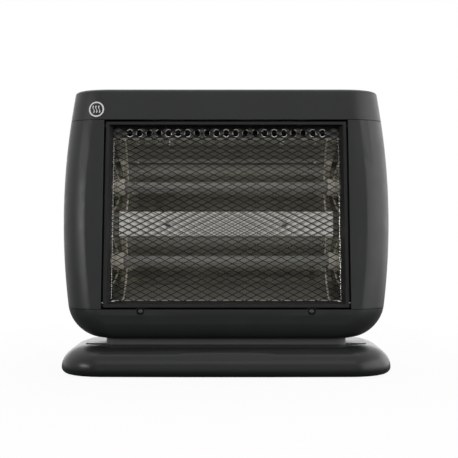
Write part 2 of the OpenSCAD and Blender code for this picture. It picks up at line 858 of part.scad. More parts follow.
module heat_shield() {
  tall = mouth_half + 4;
  bend = 5;
  rim = shield_depth - shield_side;
  half = trough_len / 2 + 3;
  color("#a9abac") on_front() difference() {
    union() {
      along_x(2 * half) polygon([
        [rim, tall], [shield_depth, tall - bend], [shield_depth, bend - tall], [rim, -tall],
        [rim, -tall - sheet_t], [shield_depth + sheet_t, bend - tall - sheet_t],
        [shield_depth + sheet_t, tall - bend + sheet_t], [rim, tall + sheet_t]
      ]);
      for (x = [-spacer_x, spacer_x])
        translate([x, ridge_depth + sheet_t, 0]) inward(shield_depth - ridge_depth) circle(5);
    }
    for (x = [-spacer_x, spacer_x])
      translate([x, ridge_depth - 1, 0]) inward(shield_depth) circle(pilot_r);
  }
}

module reflector_screws() {
  color(steel) on_front() {
    for (x = [-post_x, post_x], u = [-post_u, post_u])
      translate([x, mouth_depth + sheet_t + screw_head_h, u]) mirror([0, 1, 0]) screw(mouth_screw_len);
    for (x = [-spacer_x, spacer_x]) translate([x, ridge_depth - screw_head_h, 0]) screw(spacer_screw_len);
  }
}

// ---- Quartz tubes -----------------------------------------------------------------------------

cap_from = trough_len / 2 - 2.5;
collar_from = trough_end(tube_depth - cap_r) + sheet_t + 0.6;
cap_end = collar_from + 10;
tube_end = collar_from - 1;
stud_from = tube_end + 2;

module at_tube(up) {
  on_front() translate([0, tube_depth, up * tube_offset]) rotate([0, 90, 0]) children();
}

module quartz_tube(up) {
  color("#e8ebea") at_tube(up) difference() {
    cylinder(r = tube_r, h = 2 * tube_end, center = true);
    cylinder(r = tube_r - tube_wall, h = 2 * tube_end + 2, center = true);
  }
}

module quartz_tube_upper() quartz_tube(1);
module quartz_tube_lower() quartz_tube(-1);

module end_cap(up, side) {
  color("#e9e2cf") at_tube(up) mirror([0, 0, side < 0 ? 1 : 0]) difference() {
    union() {
      translate([0, 0, cap_from]) cylinder(r = cap_r, h = collar_from - cap_from + 0.5);
      translate([0, 0, collar_from]) cylinder(r = cap_collar_r, h = 3);
      translate([0, 0, collar_from + 2.5]) cylinder(r = cap_r - 1.5, h = cap_end - collar_from - 2.5);
    }
    translate([0, 0, cap_from - 1]) cylinder(r = tube_r + fit, h = tube_end + fit - cap_from + 1);
    cylinder(r = stud_r + 0.1, h = reach);
  }
}

module end_cap_upper_left() end_cap(1, -1);
module end_cap_upper_right() end_cap(1, 1);
module end_cap_lower_left() end_cap(-1, -1);
module end_cap_lower_right() end_cap(-1, 1);

module terminal_studs() {
  color("#b9a15a")
    for (up = [-1, 1], side = [0, 1])
      at_tube(up) mirror([0, 0, side]) {
        translate([0, 0, stud_from]) cylinder(r = stud_r, h = cap_end - stud_from + 8);
        translate([0, 0, cap_end]) cylinder(r = stud_r + 2, h = 0.6);
        translate([0, 0, cap_end + 0.5]) cylinder(r = stud_r * 1.9, h = 2.6, $fn = 6);
      }
}

// ---- Wound pieces -----------------------------------------------------------------------------

curl_steps = 8;
wire_sides = 6;

// A winding along z that starts and ends on its axis: lead, half a curl of run-out, curls, and back
function winding(r, turns, length, lead) =
  let (
    n = turns * curl_steps,
    grow = curl_steps / 2,
    coil = [
      for (i = [0:n])
        let (a = 360 * i / curl_steps, near = min(i, n - i), k = min(1, near / grow))
          [r * k * cos(a), r * k * sin(a), -length / 2 + length * i / n, a]
    ]
  )
    concat(
      [[0, 0, -lead, 0], [0, 0, -lead + 2, 0]],
      coil,
      [[0, 0, lead - 2, 360 * turns], [0, 0, lead, 360 * turns]]
    );

// A plain helix along z
function helix(r, turns, low, high) = [
  for (i = [0:turns * curl_steps])
    let (a = 360 * i / curl_steps)
      [r * cos(a), r * sin(a), low + (high - low) * i / (turns * curl_steps), a]
];

// A wire along a path whose points also hold the angle of their outward side
module wire(path, r) {
  last = len(path) - 1;
  places = [for (p = path) [p[0], p[1], p[2]]];
  rings = [
    for (i = [0:last])
      let (
        d = places[min(i + 1, last)] - places[max(i - 1, 0)],
        out = [cos(path[i][3]), sin(path[i][3]), 0],
        t = d / norm(d),
        u0 = out - (out * t) * t,
        u = u0 / norm(u0),
        v = cross(t, u)
      )
        [
          for (k = [0:wire_sides - 1])
            let (turn = 360 * k / wire_sides)
              places[i] + r * (cos(turn) * u + sin(turn) * v)
        ]
  ];
  skin(rings);
}

// The least gap between a winding's curls, measured between its points
function winding_gap(path, r) =
  min([
    for (i = [0:len(path) - 1], j = [i + curl_steps / 2:min(i + 2 * curl_steps, len(path) - 1)])
      norm([path[i][0] - path[j][0], path[i][1] - path[j][1], path[i][2] - path[j][2]])
  ]) - 2 * r;

coil_path = winding(coil_r, coil_turns, 2 * (cap_from - 6), stud_from - 0.1);
spring_path = helix(
  plunger_r - 0.6, 4, collar_z + collar_t + spring_wire_r + 0.05, bridge_z - spring_wire_r - 0.05
);
echo(heating_coil_gap = winding_gap(coil_path, wire_r));
echo(plunger_spring_gap = winding_gap(spring_path, spring_wire_r));

module heating_coil(up) {
  color("#8a6f57") at_tube(up) wire(coil_path, wire_r);
}

module heating_coil_upper() heating_coil(1);
module heating_coil_lower() heating_coil(-1);

module plunger_spring() {
  color(steel) translate([plunger_x, 0, 0]) wire(spring_path, spring_wire_r);
}

// ---- Electrical pieces ------------------------------------------------------------------------

module thermal_cutout() {
  color("#b7b9ba") on_front() translate([34, shield_depth + sheet_t, 24]) {
    inward(6) circle(8);
    for (x = [-10.5, 0]) translate([x, 0, -4]) cube([10.5, 1, 8]);
    for (x = [-4, 4]) translate([x - 1.6, 5.5, -0.4]) cube([3.2, 7, 0.8]);
  }
}

module terminal_block() {
  color("#dcdcd6") translate(block_at) difference() {
    translate([0, 0, block_h / 2]) cube([block_w, block_d, block_h], center = true);
    for (i = [-1:1]) {
      translate([i * block_pitch, 0, block_h / 2])
        rotate([90, 0, 0]) cylinder(r = 1.8, h = 2 * block_d, center = true);
      for (y = [-4.5, 4.5]) translate([i * block_pitch, y, block_h / 2]) cylinder(r = 1.9, h = block_h);
    }
    for (i = [-0.5, 0.5]) translate([i * block_pitch, 0, -1]) cylinder(r = 1.5, h = 2 * block_h);
  }
}

module cord_gland() {
  y = rear_y(gland_z);
  color("#1c1c1c") translate([gland_x, y, gland_z]) rotate([-90, 0, 0]) difference() {
    union() {
      translate([0, 0, gland_pad + fit]) cylinder(r = gland_flange_r, h = 2);
      translate([0, 0, -gland_wall - 3]) cylinder(r = gland_neck_r, h = gland_wall + 5);
      translate([0, 0, -gland_wall - 3]) cylinder(r = gland_flange_r, h = 2.7);
      translate([0, 0, 2.5]) cylinder(r1 = gland_neck_r, r2 = gland_bore_r + 1.4, h = 14);
    }
    translate([0, 0, -reach / 2]) cylinder(r = gland_bore_r, h = reach);
  }
}

// ---- Rocker switches --------------------------------------------------------------------------

module switch_frame(side) {
  top = recess_top - pivot_z;
  color(dark) translate(switch_at(side)) difference() {
    union() {
      translate([0, 0, top]) linear_extrude(bezel_t) rounded_rect(frame_w, frame_l, 1.5);
      translate([0, 0, top + 0.5 - seat_d]) linear_extrude(seat_d) square([seat_w, seat_l], center = true);
      for (y = [-5, 5]) translate([-2.4, y - 0.4, top - seat_d - 7]) cube([4.8, 0.8, 8]);
    }
    translate([-rocker_w / 2 - 0.4, -rocker_reach - 0.4, -5])
      cube([rocker_w + 0.8, 2 * rocker_reach + 0.8, 20]);
    rotate([0, 90, 0]) cylinder(r = pivot_r + running, h = rocker_w + 3.4, center = true);
  }
}
recess_top = body_top - recess_d;

module rocker(side) {
  rise = rocker_reach * tan(rocker_swing / 2);
  color("#1b1b1b") translate(switch_at(side)) rotate([rocker_swing / 2, 0, 0]) {
    intersection() {
      rotate([0, 90, 0]) cylinder(r = rocker_reach, h = rocker_w, center = true, $fn = 96);
      along_x(2 * rocker_w) polygon([
        [-rocker_reach, -3], [rocker_reach, -3], [rocker_reach, rocker_rise + rise],
        [0, rocker_rise], [-rocker_reach, rocker_rise + rise]
      ]);
    }
    rotate([0, 90, 0]) cylinder(r = pivot_r, h = rocker_w + 2.8, center = true);
  }
}

module switch_frame_left() switch_frame(-1);
module switch_frame_right() switch_frame(1);
module rocker_left() rocker(-1);
module rocker_right() rocker(1);

// ---- Tip switch -------------------------------------------------------------------------------

module tip_plunger() {
  color("#d9d6cc") translate([plunger_x, 0, 0]) {
    cylinder(r = plunger_r, h = collar_z + 0.2);
    translate([0, 0, collar_z]) cylinder(r = collar_r, h = collar_t);
    cylinder(r = stem_r, h = stem_top);
  }
}

module plunger_guide() {
  color("#3a3a3a") translate([plunger_x, 0, 0]) difference() {
    union() {
      translate([0, 0, plate_top]) cylinder(r = collar_r + 2.4, h = sleeve_top - plate_top);
      for (y = [-1, 1])
        translate([-5, y * (collar_r + 1.6) - 1.2, plate_top])
          cube([10, 2.4, bridge_z + bridge_t - plate_top]);
      translate([-5, -collar_r - 2.8, bridge_z]) cube([10, 2 * collar_r + 5.6, bridge_t]);
    }
    translate([0, 0, plate_top - 1]) cylinder(r = plunger_r + running, h = 5);
    cylinder(r = stem_r + running, h = reach);
  }
}

module tip_switch() {
  seat = deck_under - switch_body[2] - fit;
  color("#26221f") translate([plunger_x, 0, seat]) {
    translate([-switch_body[0] / 2, -switch_body[1] / 2, 0]) cube(switch_body);
    translate([0, 0, stem_top - seat + 0.05]) cylinder(r = 1.1, h = seat - stem_top + 0.5);
  }
}

// ---- Fasteners --------------------------------------------------------------------------------

module rear_screws() {
  color(steel) on_rear()
    for (x = [-rear_screw_x, rear_screw_x], u = rear_screw_u)
      translate([x, screw_head_h, u]) mirror([0, 1, 0]) screw(rear_screw_len);
}

module base_screws() {
  color(steel) corners(base_screw_dx, base_screw_dy)
    translate([0, 0, plate_z + 0.4]) rotate([90, 0, 0]) mirror([0, 0, 1]) screw(base_screw_len);
}

module neck_screws() {
  color(steel) neck_corners()
    translate([0, 0, deck_under - screw_head_h]) rotate([90, 0, 0]) mirror([0, 0, 1]) screw(neck_screw_len);
}

top_cap();
side_panel_left();
side_panel_right();
bottom_cap();
rear_cover();
base_shell();
base_plate();
rubber_feet();
guard_frame();
guard_mesh();
guard_screws();
reflector();
reflector_side_left();
reflector_side_right();
heat_shield();
reflector_screws();
quartz_tube_upper();
quartz_tube_lower();
heating_coil_upper();
heating_coil_lower();
end_cap_upper_left();
end_cap_upper_right();
end_cap_lower_left();
end_cap_lower_right();
terminal_studs();
thermal_cutout();
terminal_block();
cord_gland();
switch_frame_left();
switch_frame_right();
rocker_left();
rocker_right();
tip_plunger();
plunger_spring();
plunger_guide();
tip_switch();
rear_screws();
base_screws();
neck_screws();
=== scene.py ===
"""A table-top parabolic quartz heater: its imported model, dressed with real surfaces, in a pale studio."""
import json
import math

import bmesh
import bpy
from mathutils import Matrix, Vector


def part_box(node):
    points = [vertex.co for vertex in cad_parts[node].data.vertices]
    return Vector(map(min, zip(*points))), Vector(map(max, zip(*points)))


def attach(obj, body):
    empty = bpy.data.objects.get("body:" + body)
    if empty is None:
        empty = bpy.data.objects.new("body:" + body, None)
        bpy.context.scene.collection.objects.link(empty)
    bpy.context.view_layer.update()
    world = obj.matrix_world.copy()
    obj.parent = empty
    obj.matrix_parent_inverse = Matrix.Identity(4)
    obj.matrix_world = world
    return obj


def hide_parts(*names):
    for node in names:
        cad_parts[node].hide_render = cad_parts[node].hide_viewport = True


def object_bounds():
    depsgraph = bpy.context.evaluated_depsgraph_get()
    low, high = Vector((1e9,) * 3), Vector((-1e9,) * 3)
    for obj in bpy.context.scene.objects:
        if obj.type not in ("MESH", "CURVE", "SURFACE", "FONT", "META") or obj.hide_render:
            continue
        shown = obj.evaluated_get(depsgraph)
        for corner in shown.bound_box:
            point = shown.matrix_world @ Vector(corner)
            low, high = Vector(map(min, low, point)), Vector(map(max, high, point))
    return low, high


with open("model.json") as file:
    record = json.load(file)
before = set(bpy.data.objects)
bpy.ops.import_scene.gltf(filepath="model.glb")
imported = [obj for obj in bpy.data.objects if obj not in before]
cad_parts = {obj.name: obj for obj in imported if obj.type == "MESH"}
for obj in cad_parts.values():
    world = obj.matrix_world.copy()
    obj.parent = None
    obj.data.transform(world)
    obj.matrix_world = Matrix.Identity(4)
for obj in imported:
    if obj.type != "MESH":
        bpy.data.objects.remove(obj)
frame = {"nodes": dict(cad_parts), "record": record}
cad_bounds = [list(corner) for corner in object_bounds()]

# ---- Sizes, in millimetres --------------------------------------------------------------------

MM = 0.001
LEAN = math.radians(10)
SIN_LEAN, COS_LEAN = math.sin(LEAN), math.cos(LEAN)

BASE_W, BASE_D, BASE_H = 331, 150, 30
BELLY_Z, SOLE_Z = 7.5, 1
DECK_INSET, SOLE_INSET, BASE_CORNER_R, BASE_BOW = 28, 8, 42, 4

BODY_W, BODY_BOT, BODY_TOP = 334, 36.8, 288
FRONT_REACH, REAR_REACH, REAR_LEAN = 62, 44, math.radians(2)
FLANK_R, FLANK_MID_Z, CORNER_R = 700, 168, 36
CURL_H, CURL_SIDE, CURL_FRONT, CURL_REAR = 32, 30, 17, 12
CROWN_H, CROWN_W = 3, 6

AXIS_Z = 157
AXIS_Y = -FRONT_REACH + (AXIS_Z - BODY_BOT) * math.tan(LEAN)
MESH_DX, MESH_DZ = 12.2, 6.25
TUBE_OFFSET, FOCAL, TROUGH_DEPTH, MOUTH_HALF, RIDGE_HALF = 38.5, 12, 48, 82, 12.5
VENT_STRIP, VENT_W, VENT_H, VENT_PITCH = 14, 5, 7, 9.8
WIN_W, WIN_LO = 247, 66.5
TROUGH_LEN = WIN_W - 33
MOUTH_DEPTH = TROUGH_DEPTH - (MOUTH_HALF - TUBE_OFFSET) ** 2 / (4 * FOCAL)
RIDGE_DEPTH = TROUGH_DEPTH - (TUBE_OFFSET - RIDGE_HALF) ** 2 / (4 * FOCAL)
TUBE_DEPTH = TROUGH_DEPTH - FOCAL
SHEET_T = 0.8

# Painted reflection: cream cords across the troughs stand for the side plates' lit edges seen in the mirror
REFLECTION_CORD_X, REFLECTION_CORD_R, REFLECTION_CORD_CUTS = 102.5, 0.9, 40
BEAD_X, BEAD_R, BEAD_SINK, BEAD_END = 114.2, 0.55, 0.2, 1.5
COIL_R, WIRE_R, COIL_TURNS, COIL_HALF, LEAD_HALF = 3.5, 0.36, 110, 98.5, 127
CURL_STEPS, DRAW_IN, LEAD_LAP = 12, 4, 1
SCREW_R, HEAD_R, HEAD_H = 1.7, 3.3, 2.0
PLATE_Z = 1.2
SWITCH_X, SWITCH_Y, SWITCH_PITCH = 97, 18, 23
PIVOT_Z, ROCKER_RISE, ROCKER_SWING = 283.2, 3.2, math.radians(20)
MARK_X, MARK_Z, MARK_R = -131.8, 267.3, 7.9

BODY_OF = {
    node: body
    for body, nodes in frame["record"]["behaviour"]["bodies"].items()
    for node in nodes
}
SLOT_OF = {row["node"]: row["material_slot"] for row in frame["record"]["subparts"]}


def on_front(x, depth, up):
    """A place by the leaning front, in metres: x right, depth into the casing, up the slope."""
    return Vector((
        x,
        AXIS_Y + up * SIN_LEAN + depth * COS_LEAN,
        AXIS_Z + up * COS_LEAN - depth * SIN_LEAN,
    )) * MM


def front_place(point):
    """(x, depth, up) in millimetres of a place given in metres."""
    y, z = point.y / MM - AXIS_Y, point.z / MM - AXIS_Z
    return point.x / MM, y * COS_LEAN - z * SIN_LEAN, y * SIN_LEAN + z * COS_LEAN


# ---- The true outer forms ---------------------------------------------------------------------

def plan_distance(x, y, half_x, low_y, high_y, r):
    """How far a place lies outside a rounded rectangle in plan; less than 0 inside it."""
    half_y = (high_y - low_y) / 2
    qx = abs(x) - half_x + r
    qy = abs(y - low_y - half_y) - half_y + r
    return math.hypot(max(qx, 0), max(qy, 0)) + min(max(qx, qy), 0) - r


def quarter_in(share):
    """How far a quarter of an ellipse has drawn in at a share of its height, from 0 to 1."""
    return 1 - math.sqrt(1 - min(max(share, 0), 1) ** 2)


def base_form(p):
    """How far a place lies outside the base's skin, in millimetres; less than 0 inside it."""
    z = p.z - BELLY_Z
    if z < 0:
        inset = SOLE_INSET * quarter_in(-z / (BELLY_Z - SOLE_Z))
    else:
        inset = DECK_INSET * quarter_in(z / (BASE_H - BELLY_Z))
    half_x = BASE_W / 2 - inset
    half_y = BASE_D / 2 - BASE_BOW - inset
    y = abs(p.y) - BASE_BOW * (1 - (p.x / half_x) ** 2)
    return plan_distance(p.x, y, half_x, -half_y, half_y, BASE_CORNER_R - inset)


def flank_bulge(z):
    """How far the bowed flanks have drawn in at a height."""
    return FLANK_R - math.sqrt(FLANK_R ** 2 - (z - FLANK_MID_Z) ** 2)


def casing_form(p):
    """How far a place lies outside the casing's skin, in millimetres; less than 0 inside it."""
    curl = quarter_in((BODY_BOT + CURL_H - p.z) / CURL_H)
    crown = quarter_in((p.z - BODY_TOP + CROWN_H) / CROWN_H)
    half_x = BODY_W / 2 - flank_bulge(p.z) - CURL_SIDE * curl - CROWN_W * crown
    front = -FRONT_REACH + (p.z - BODY_BOT) * math.tan(LEAN)
    front += CURL_FRONT * curl + CROWN_W / 2 * crown
    rear = REAR_REACH + (p.z - BODY_BOT) * math.tan(REAR_LEAN)
    rear -= CURL_REAR * curl + CROWN_W / 2 * crown
    r = min(CORNER_R - CURL_REAR * curl - CROWN_W / 2 * crown, (rear - front) / 2 - 1)
    return plan_distance(p.x, p.y, half_x, front, rear, r)


def settled(point, form, levels, reach):
    """The place on a form's skin by a point, in millimetres, or None where it is further than reach."""
    step = 0.01
    low, high = levels
    if not low + step < point.z < high - step:
        return None
    at = point.copy()
    for _ in range(5):
        slope = Vector([
            form(at + step * axis) - form(at - step * axis)
            for axis in (Vector((1, 0, 0)), Vector((0, 1, 0)), Vector((0, 0, 1)))
        ]) / (2 * step)
        if slope.length < 1e-6:
            return None
        at -= slope * (form(at) / slope.length_squared)
        at.z = min(max(at.z, low + step), high - step)
        if (at - point).length > reach:
            return None
    return at


# ---- Mesh helpers -----------------------------------------------------------------------------

# Faces that meet at less than FLAT merge; an edge over FOLD is rounded, and one over CREASE stays sharp
FLAT = math.radians(0.6)
FOLD = math.radians(32)
CREASE = FOLD * 1.2
LONG_EDGE, LONG_CUTS = 100, 20


def cad_copy(node):
    """A node's triangles, merged into whole faces."""
    bm = bmesh.new()
    bm.from_mesh(frame["nodes"][node].data)
    bmesh.ops.remove_doubles(bm, verts=bm.verts, dist=2e-6)
    bmesh.ops.dissolve_limit(bm, angle_limit=FLAT, verts=bm.verts, edges=bm.edges)
    return bm


def follow_form(bm, form, levels, cuts=3, reach=0.6, shortest=2):
    """The facets of a form's skin are divided and settle on the true form."""
    skin = {v for v in bm.verts if settled(v.co / MM, form, levels, reach)}
    edges = [
        e for e in bm.edges
        if (e.verts[0] in skin or e.verts[1] in skin)
        and e.calc_length() > shortest * MM
        and settled((e.verts[0].co + e.verts[1].co) / 2 / MM, form, levels, reach)
    ]
    bmesh.ops.subdivide_edges(bm, edges=edges, cuts=cuts, use_grid_fill=True)
    for v in bm.verts:
        place = settled(v.co / MM, form, levels, reach)
        if place:
            v.co = place * MM


def cut_long_edges(bm):
    """Long straight pieces, still in millimetres, get enough places along them."""
    long = [e for e in bm.edges if e.calc_length() > LONG_EDGE]
    bmesh.ops.subdivide_edges(bm, edges=long, cuts=LONG_CUTS)


def round_folds(bm, width, segments=2):
    """Every sharp edge gets a small radius."""
    sharp = [e for e in bm.edges if len(e.link_faces) == 2 and e.calc_face_angle(0) > FOLD]
    bmesh.ops.bevel(
        bm, geom=sharp, offset=width * MM, offset_type="OFFSET", affect="EDGES",
        segments=segments, profile=0.5, material=-1, clamp_overlap=True,
    )


def finish_piece(bm, name, body, finish, stands_for=(), weighted=True):
    """The mesh becomes a smooth-shaded piece that rides on its body."""
    for face in bm.faces:
        face.smooth = True
    for edge in bm.edges:
        edge.smooth = len(edge.link_faces) != 2 or edge.calc_face_angle(0) < CREASE
    mesh = bpy.data.meshes.new(name)
    bm.to_mesh(mesh)
    bm.free()
    piece = bpy.data.objects.new(name, mesh)
    bpy.context.scene.collection.objects.link(piece)
    mesh.materials.append(finish)
    if weighted:
        normals = piece.modifiers.new("even_normals", "WEIGHTED_NORMAL")
        normals.keep_sharp = True
    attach(piece, body)
    if stands_for:
        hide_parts(*stands_for)


def dressed(node, suffix, width=0.3, segments=2, shape=None, finish=None):
    """A CAD node's shape with rounded edges and true curves, in the node's own place."""
    bm = cad_copy(node)
    if shape:
        shape(bm)
    round_folds(bm, width, segments)
    slot = SLOT_OF[node]
    finish_piece(bm, f"{node}_{suffix}", BODY_OF[node], finish or FINISH[slot], (node,))


# ---- Materials --------------------------------------------------------------------------------

class Graph:
    """A node tree under construction, with short names for its common nodes."""

    def __init__(self, tree):
        self.nodes, self.links = tree.nodes, tree.links

    def node(self, kind, inputs=(), **settings):
        made = self.nodes.new(kind)
        for key, value in settings.items():
            setattr(made, key, value)
        for socket, value in dict(inputs).items():
            if isinstance(value, bpy.types.NodeSocket):
                self.links.new(value, made.inputs[socket])
            else:
                made.inputs[socket].default_value = value
        return made

    def span(self, value, low, high, start=0.3, end=0.7):
        return self.node("ShaderNodeMapRange", {
            "Value": value, "From Min": start, "From Max": end, "To Min": low, "To Max": high,
        }).outputs["Result"]

    def maths(self, operation, first, second):
        return self.node("ShaderNodeMath", {0: first, 1: second}, operation=operation).outputs[0]

    def bounced(self, rays):
        """1 for light that comes by way of a glossy or clear piece."""
        return self.maths("MAXIMUM", rays["Is Glossy Ray"], rays["Is Transmission Ray"])

    def shades(self, value, stops):
        ramp = self.node("ShaderNodeValToRGB", {"Fac": value})
        marks = ramp.color_ramp.elements
        while len(marks) < len(stops):
            marks.new(0.5)
        for mark, (place, colour) in zip(marks, stops):
            mark.position = place
            mark.color = (*colour, 1)
        return ramp.outputs["Color"]

    def mixed(self, share, first, second):
        mix = self.node("ShaderNodeMix", data_type="RGBA")
        for socket, value in ((0, share), (6, first), (7, second)):
            if isinstance(value, bpy.types.NodeSocket):
                self.links.new(value, mix.inputs[socket])
            elif socket:
                mix.inputs[socket].default_value = (*value, 1)
            else:
                mix.inputs[socket].default_value = value
        return mix.outputs[2]


class Finish(Graph):
    """A procedural material under construction, laid out along the object's own axes."""

    def __init__(self, name, **sockets):
        self.material = bpy.data.materials.new(name)
        self.material.use_nodes = True
        super().__init__(self.material.node_tree)
        self.shader = self.nodes["Principled BSDF"]
        for socket, value in sockets.items():
            self.shader.inputs[socket.replace("_", " ")].default_value = value
        self.place = self.nodes.new("ShaderNodeTexCoord").outputs["Object"]

    def stretched(self, scale):
        return self.node("ShaderNodeMapping", {"Vector": self.place, "Scale": scale}).outputs["Vector"]

    def noise(self, scale, detail=3.0, roughness=0.5, vector=None):
        return self.node("ShaderNodeTexNoise", {
            "Vector": vector or self.place, "Scale": scale, "Detail": detail, "Roughness": roughness,
        }).outputs["Fac"]

    def along(self, axis, vector=None):
        return self.node("ShaderNodeSeparateXYZ", {"Vector": vector or self.place}).outputs[axis]

    def colour(self, output):
        self.links.new(output, self.shader.inputs["Base Color"])

    def roughness(self, output):
        self.links.new(output, self.shader.inputs["Roughness"])

    def bump(self, output, strength, distance):
        bump = self.node(
            "ShaderNodeBump", {"Height": output, "Strength": strength, "Distance": distance * MM}
        )
        below = self.shader.inputs["Normal"].links
        if below:
            self.links.new(below[0].from_socket, bump.inputs["Normal"])
        self.links.new(bump.outputs["Normal"], self.shader.inputs["Normal"])


DUST_AND_SHEEN = (0.32, 0.31, 0.29)


def moulded(name, dark, light, rough, grain=2600, depth=0.02, dust_and_sheen=0.045, neck=None, **sockets):
    """Moulded plastic: a fine spark-eroded grain, faint flow shades, upward faces lighter with a dusting
    that on the casing also stands for a painted sheen, and, where given, a neck painted lighter in place of
    the front light that reaches it.
    """
    f = Finish(name, **sockets)
    tone = f.shades(f.noise(14, 4), [(0.35, dark), (0.65, light)])
    up = f.along("Z", f.node("ShaderNodeNewGeometry").outputs["Normal"])
    # Upward faces lighter: a dusting, and on the casing also a painted sheen along the top edge
    dust_and_sheen_share = f.maths("MULTIPLY", f.span(up, 0, dust_and_sheen, 0.2, 0.9), f.span(f.noise(160, 5, 0.7), 0.2, 1))
    # Painted light: below the casing's bottom edge the neck takes a lighter colour in place of the front
    # light that reaches it
    if neck:
        below = f.span(f.along("Z"), 1, 0, (BODY_BOT - 0.5) * MM, (BODY_BOT - 0.1) * MM)
        tone = f.mixed(below, tone, neck)
    f.colour(f.mixed(dust_and_sheen_share, tone, DUST_AND_SHEEN))
    f.roughness(f.span(f.noise(60, 5, 0.65), rough - 0.04, rough + 0.05))
    f.bump(f.noise(grain, 2, 0.6), 0.35, depth)
    f.bump(f.noise(35, 2), 0.12, 0.15)
    return f.material


def enamel(name, dark, light, gloss):
    """Satin black stove enamel on sheet steel: a slight orange peel and thin spots at random."""
    f = Finish(name, Metallic=0.0, Specular_IOR_Level=gloss)
    f.colour(f.shades(f.noise(220, 4), [(0.3, dark), (0.75, light)]))
    f.roughness(f.span(f.noise(90, 4), 0.40, 0.50))
    f.bump(f.noise(1500, 2), 0.25, 0.02)
    return f.material


# Heights in millimetres and how bright the reflector's metal is there, from 0 for a painted dark band to 1
# for bare bright metal: the dark bands and the thin bright lines between them are painted reflections and
# shade
REFLECTION_BANDS = (
    (70, 0.9), (75, 0.9), (76.3, 0.3), (88, 0.35), (93, 1),
    (137.8, 1), (139.6, 0.85), (162.6, 0.85), (164.4, 1),
    (217, 1), (218.5, 0.5), (221.6, 0.45), (222.4, 0.85), (223.2, 0.4), (226.2, 0.4),
    (227, 0.85), (227.8, 0.4), (231, 0.45), (232, 1), (237.5, 1), (238.2, 0), (240, 0),
)
# Colour and roughness of the painted dark bands
PAINTED_DARK_BAND, DARK_BAND_ROUGH = (0.10, 0.10, 0.095), 0.36


def polished_sheet():
    """Bright-rolled aluminium sheet: fine rolling lines, soft waves, haze, and rougher dark bands of
    painted reflection and shade.
    """
    f = Finish("polished_aluminium", Metallic=1.0)
    lines = f.noise(1, 3, 0.6, f.stretched((25, 2600, 2600)))
    haze = f.noise(30, 4, 0.6)
    low, high = REFLECTION_BANDS[0][0], REFLECTION_BANDS[-1][0]
    # Painted reflection and shade: dark bands and thin bright lines across the metal, by height
    bare = f.shades(f.span(f.along("Z"), 0, 1, low * MM, high * MM), [
        ((z - low) / (high - low), (share,) * 3) for z, share in REFLECTION_BANDS
    ])
    bright = f.shades(haze, [(0.3, (0.66, 0.65, 0.60)), (0.7, (0.76, 0.75, 0.70))])
    f.colour(f.mixed(bare, PAINTED_DARK_BAND, bright))
    f.roughness(f.maths("ADD", f.span(bare, DARK_BAND_ROUGH, 0, 0, 1), f.span(lines, 0.03, 0.08)))
    f.bump(lines, 0.06, 0.01)
    f.bump(f.noise(28, 1), 0.25, 0.12)
    return f.material


def galvanised():
    """Zinc-coated sheet with a faint pattern of crystals."""
    f = Finish("galvanised_steel", Metallic=1.0)
    crystals = f.node("ShaderNodeTexVoronoi", {"Vector": f.place, "Scale": 120.0}).outputs["Color"]
    grey = f.node("ShaderNodeSeparateColor", {"Color": crystals}).outputs["Red"]
    f.colour(f.shades(grey, [(0.0, (0.30, 0.31, 0.32)), (1.0, (0.47, 0.48, 0.49))]))
    f.roughness(f.span(grey, 0.33, 0.48, 0, 1))
    f.bump(f.noise(500, 3), 0.15, 0.02)
    return f.material


def quartz_glass():
    """Fused quartz with its slight milky drawing lines along the tube."""
    f = Finish("quartz_glass", Transmission_Weight=0.72, IOR=1.458)
    lines = f.noise(1, 3, 0.6, f.stretched((12, 900, 900)))
    f.colour(f.shades(lines, [(0.3, (0.77, 0.765, 0.71)), (0.7, (0.93, 0.925, 0.87))]))
    f.roughness(f.span(lines, 0.12, 0.24))
    f.bump(lines, 0.08, 0.02)
    return f.material


def heating_alloy():
    """Resistance wire, oxidised dark grey-brown in service."""
    f = Finish("heating_alloy", Metallic=0.85)
    f.colour(f.shades(f.noise(500, 3), [(0.3, (0.11, 0.085, 0.065)), (0.7, (0.24, 0.20, 0.17))]))
    f.roughness(f.span(f.noise(900, 2), 0.35, 0.55))
    f.bump(f.noise(4000, 2), 0.2, 0.01)
    return f.material


def steatite():
    """Unglazed cream ceramic: fine pores and slightly darker fired patches."""
    f = Finish("steatite_ceramic", Specular_IOR_Level=0.35)
    tone = f.shades(f.noise(180, 4), [(0.3, (0.72, 0.68, 0.58)), (0.7, (0.82, 0.79, 0.70))])
    pores = f.noise(3200, 1)
    f.colour(f.mixed(f.span(pores, 0, 0.35, 0.62, 0.8), tone, (0.40, 0.35, 0.26)))
    f.roughness(f.span(f.noise(700, 3), 0.5, 0.68))
    f.bump(pores, 0.25, 0.03)
    return f.material


def turned_metal(name, dark, light, rough):
    """Plated or bare metal of small turned parts: fine marks and a little uneven plating."""
    f = Finish(name, Metallic=1.0)
    f.colour(f.shades(f.noise(420, 4), [(0.3, dark), (0.7, light)]))
    f.roughness(f.span(f.noise(900, 4), rough - 0.06, rough + 0.08))
    f.bump(f.noise(2600, 2), 0.18, 0.012)
    return f.material


def rubber():
    """Matt black rubber with a fine grain."""
    f = Finish("foot_rubber", Specular_IOR_Level=0.3)
    f.colour(f.shades(f.noise(300, 4), [(0.3, (0.012, 0.012, 0.012)), (0.7, (0.028, 0.027, 0.026))]))
    f.roughness(f.span(f.noise(600, 3), 0.68, 0.85))
    f.bump(f.noise(1800, 3), 0.4, 0.04)
    return f.material


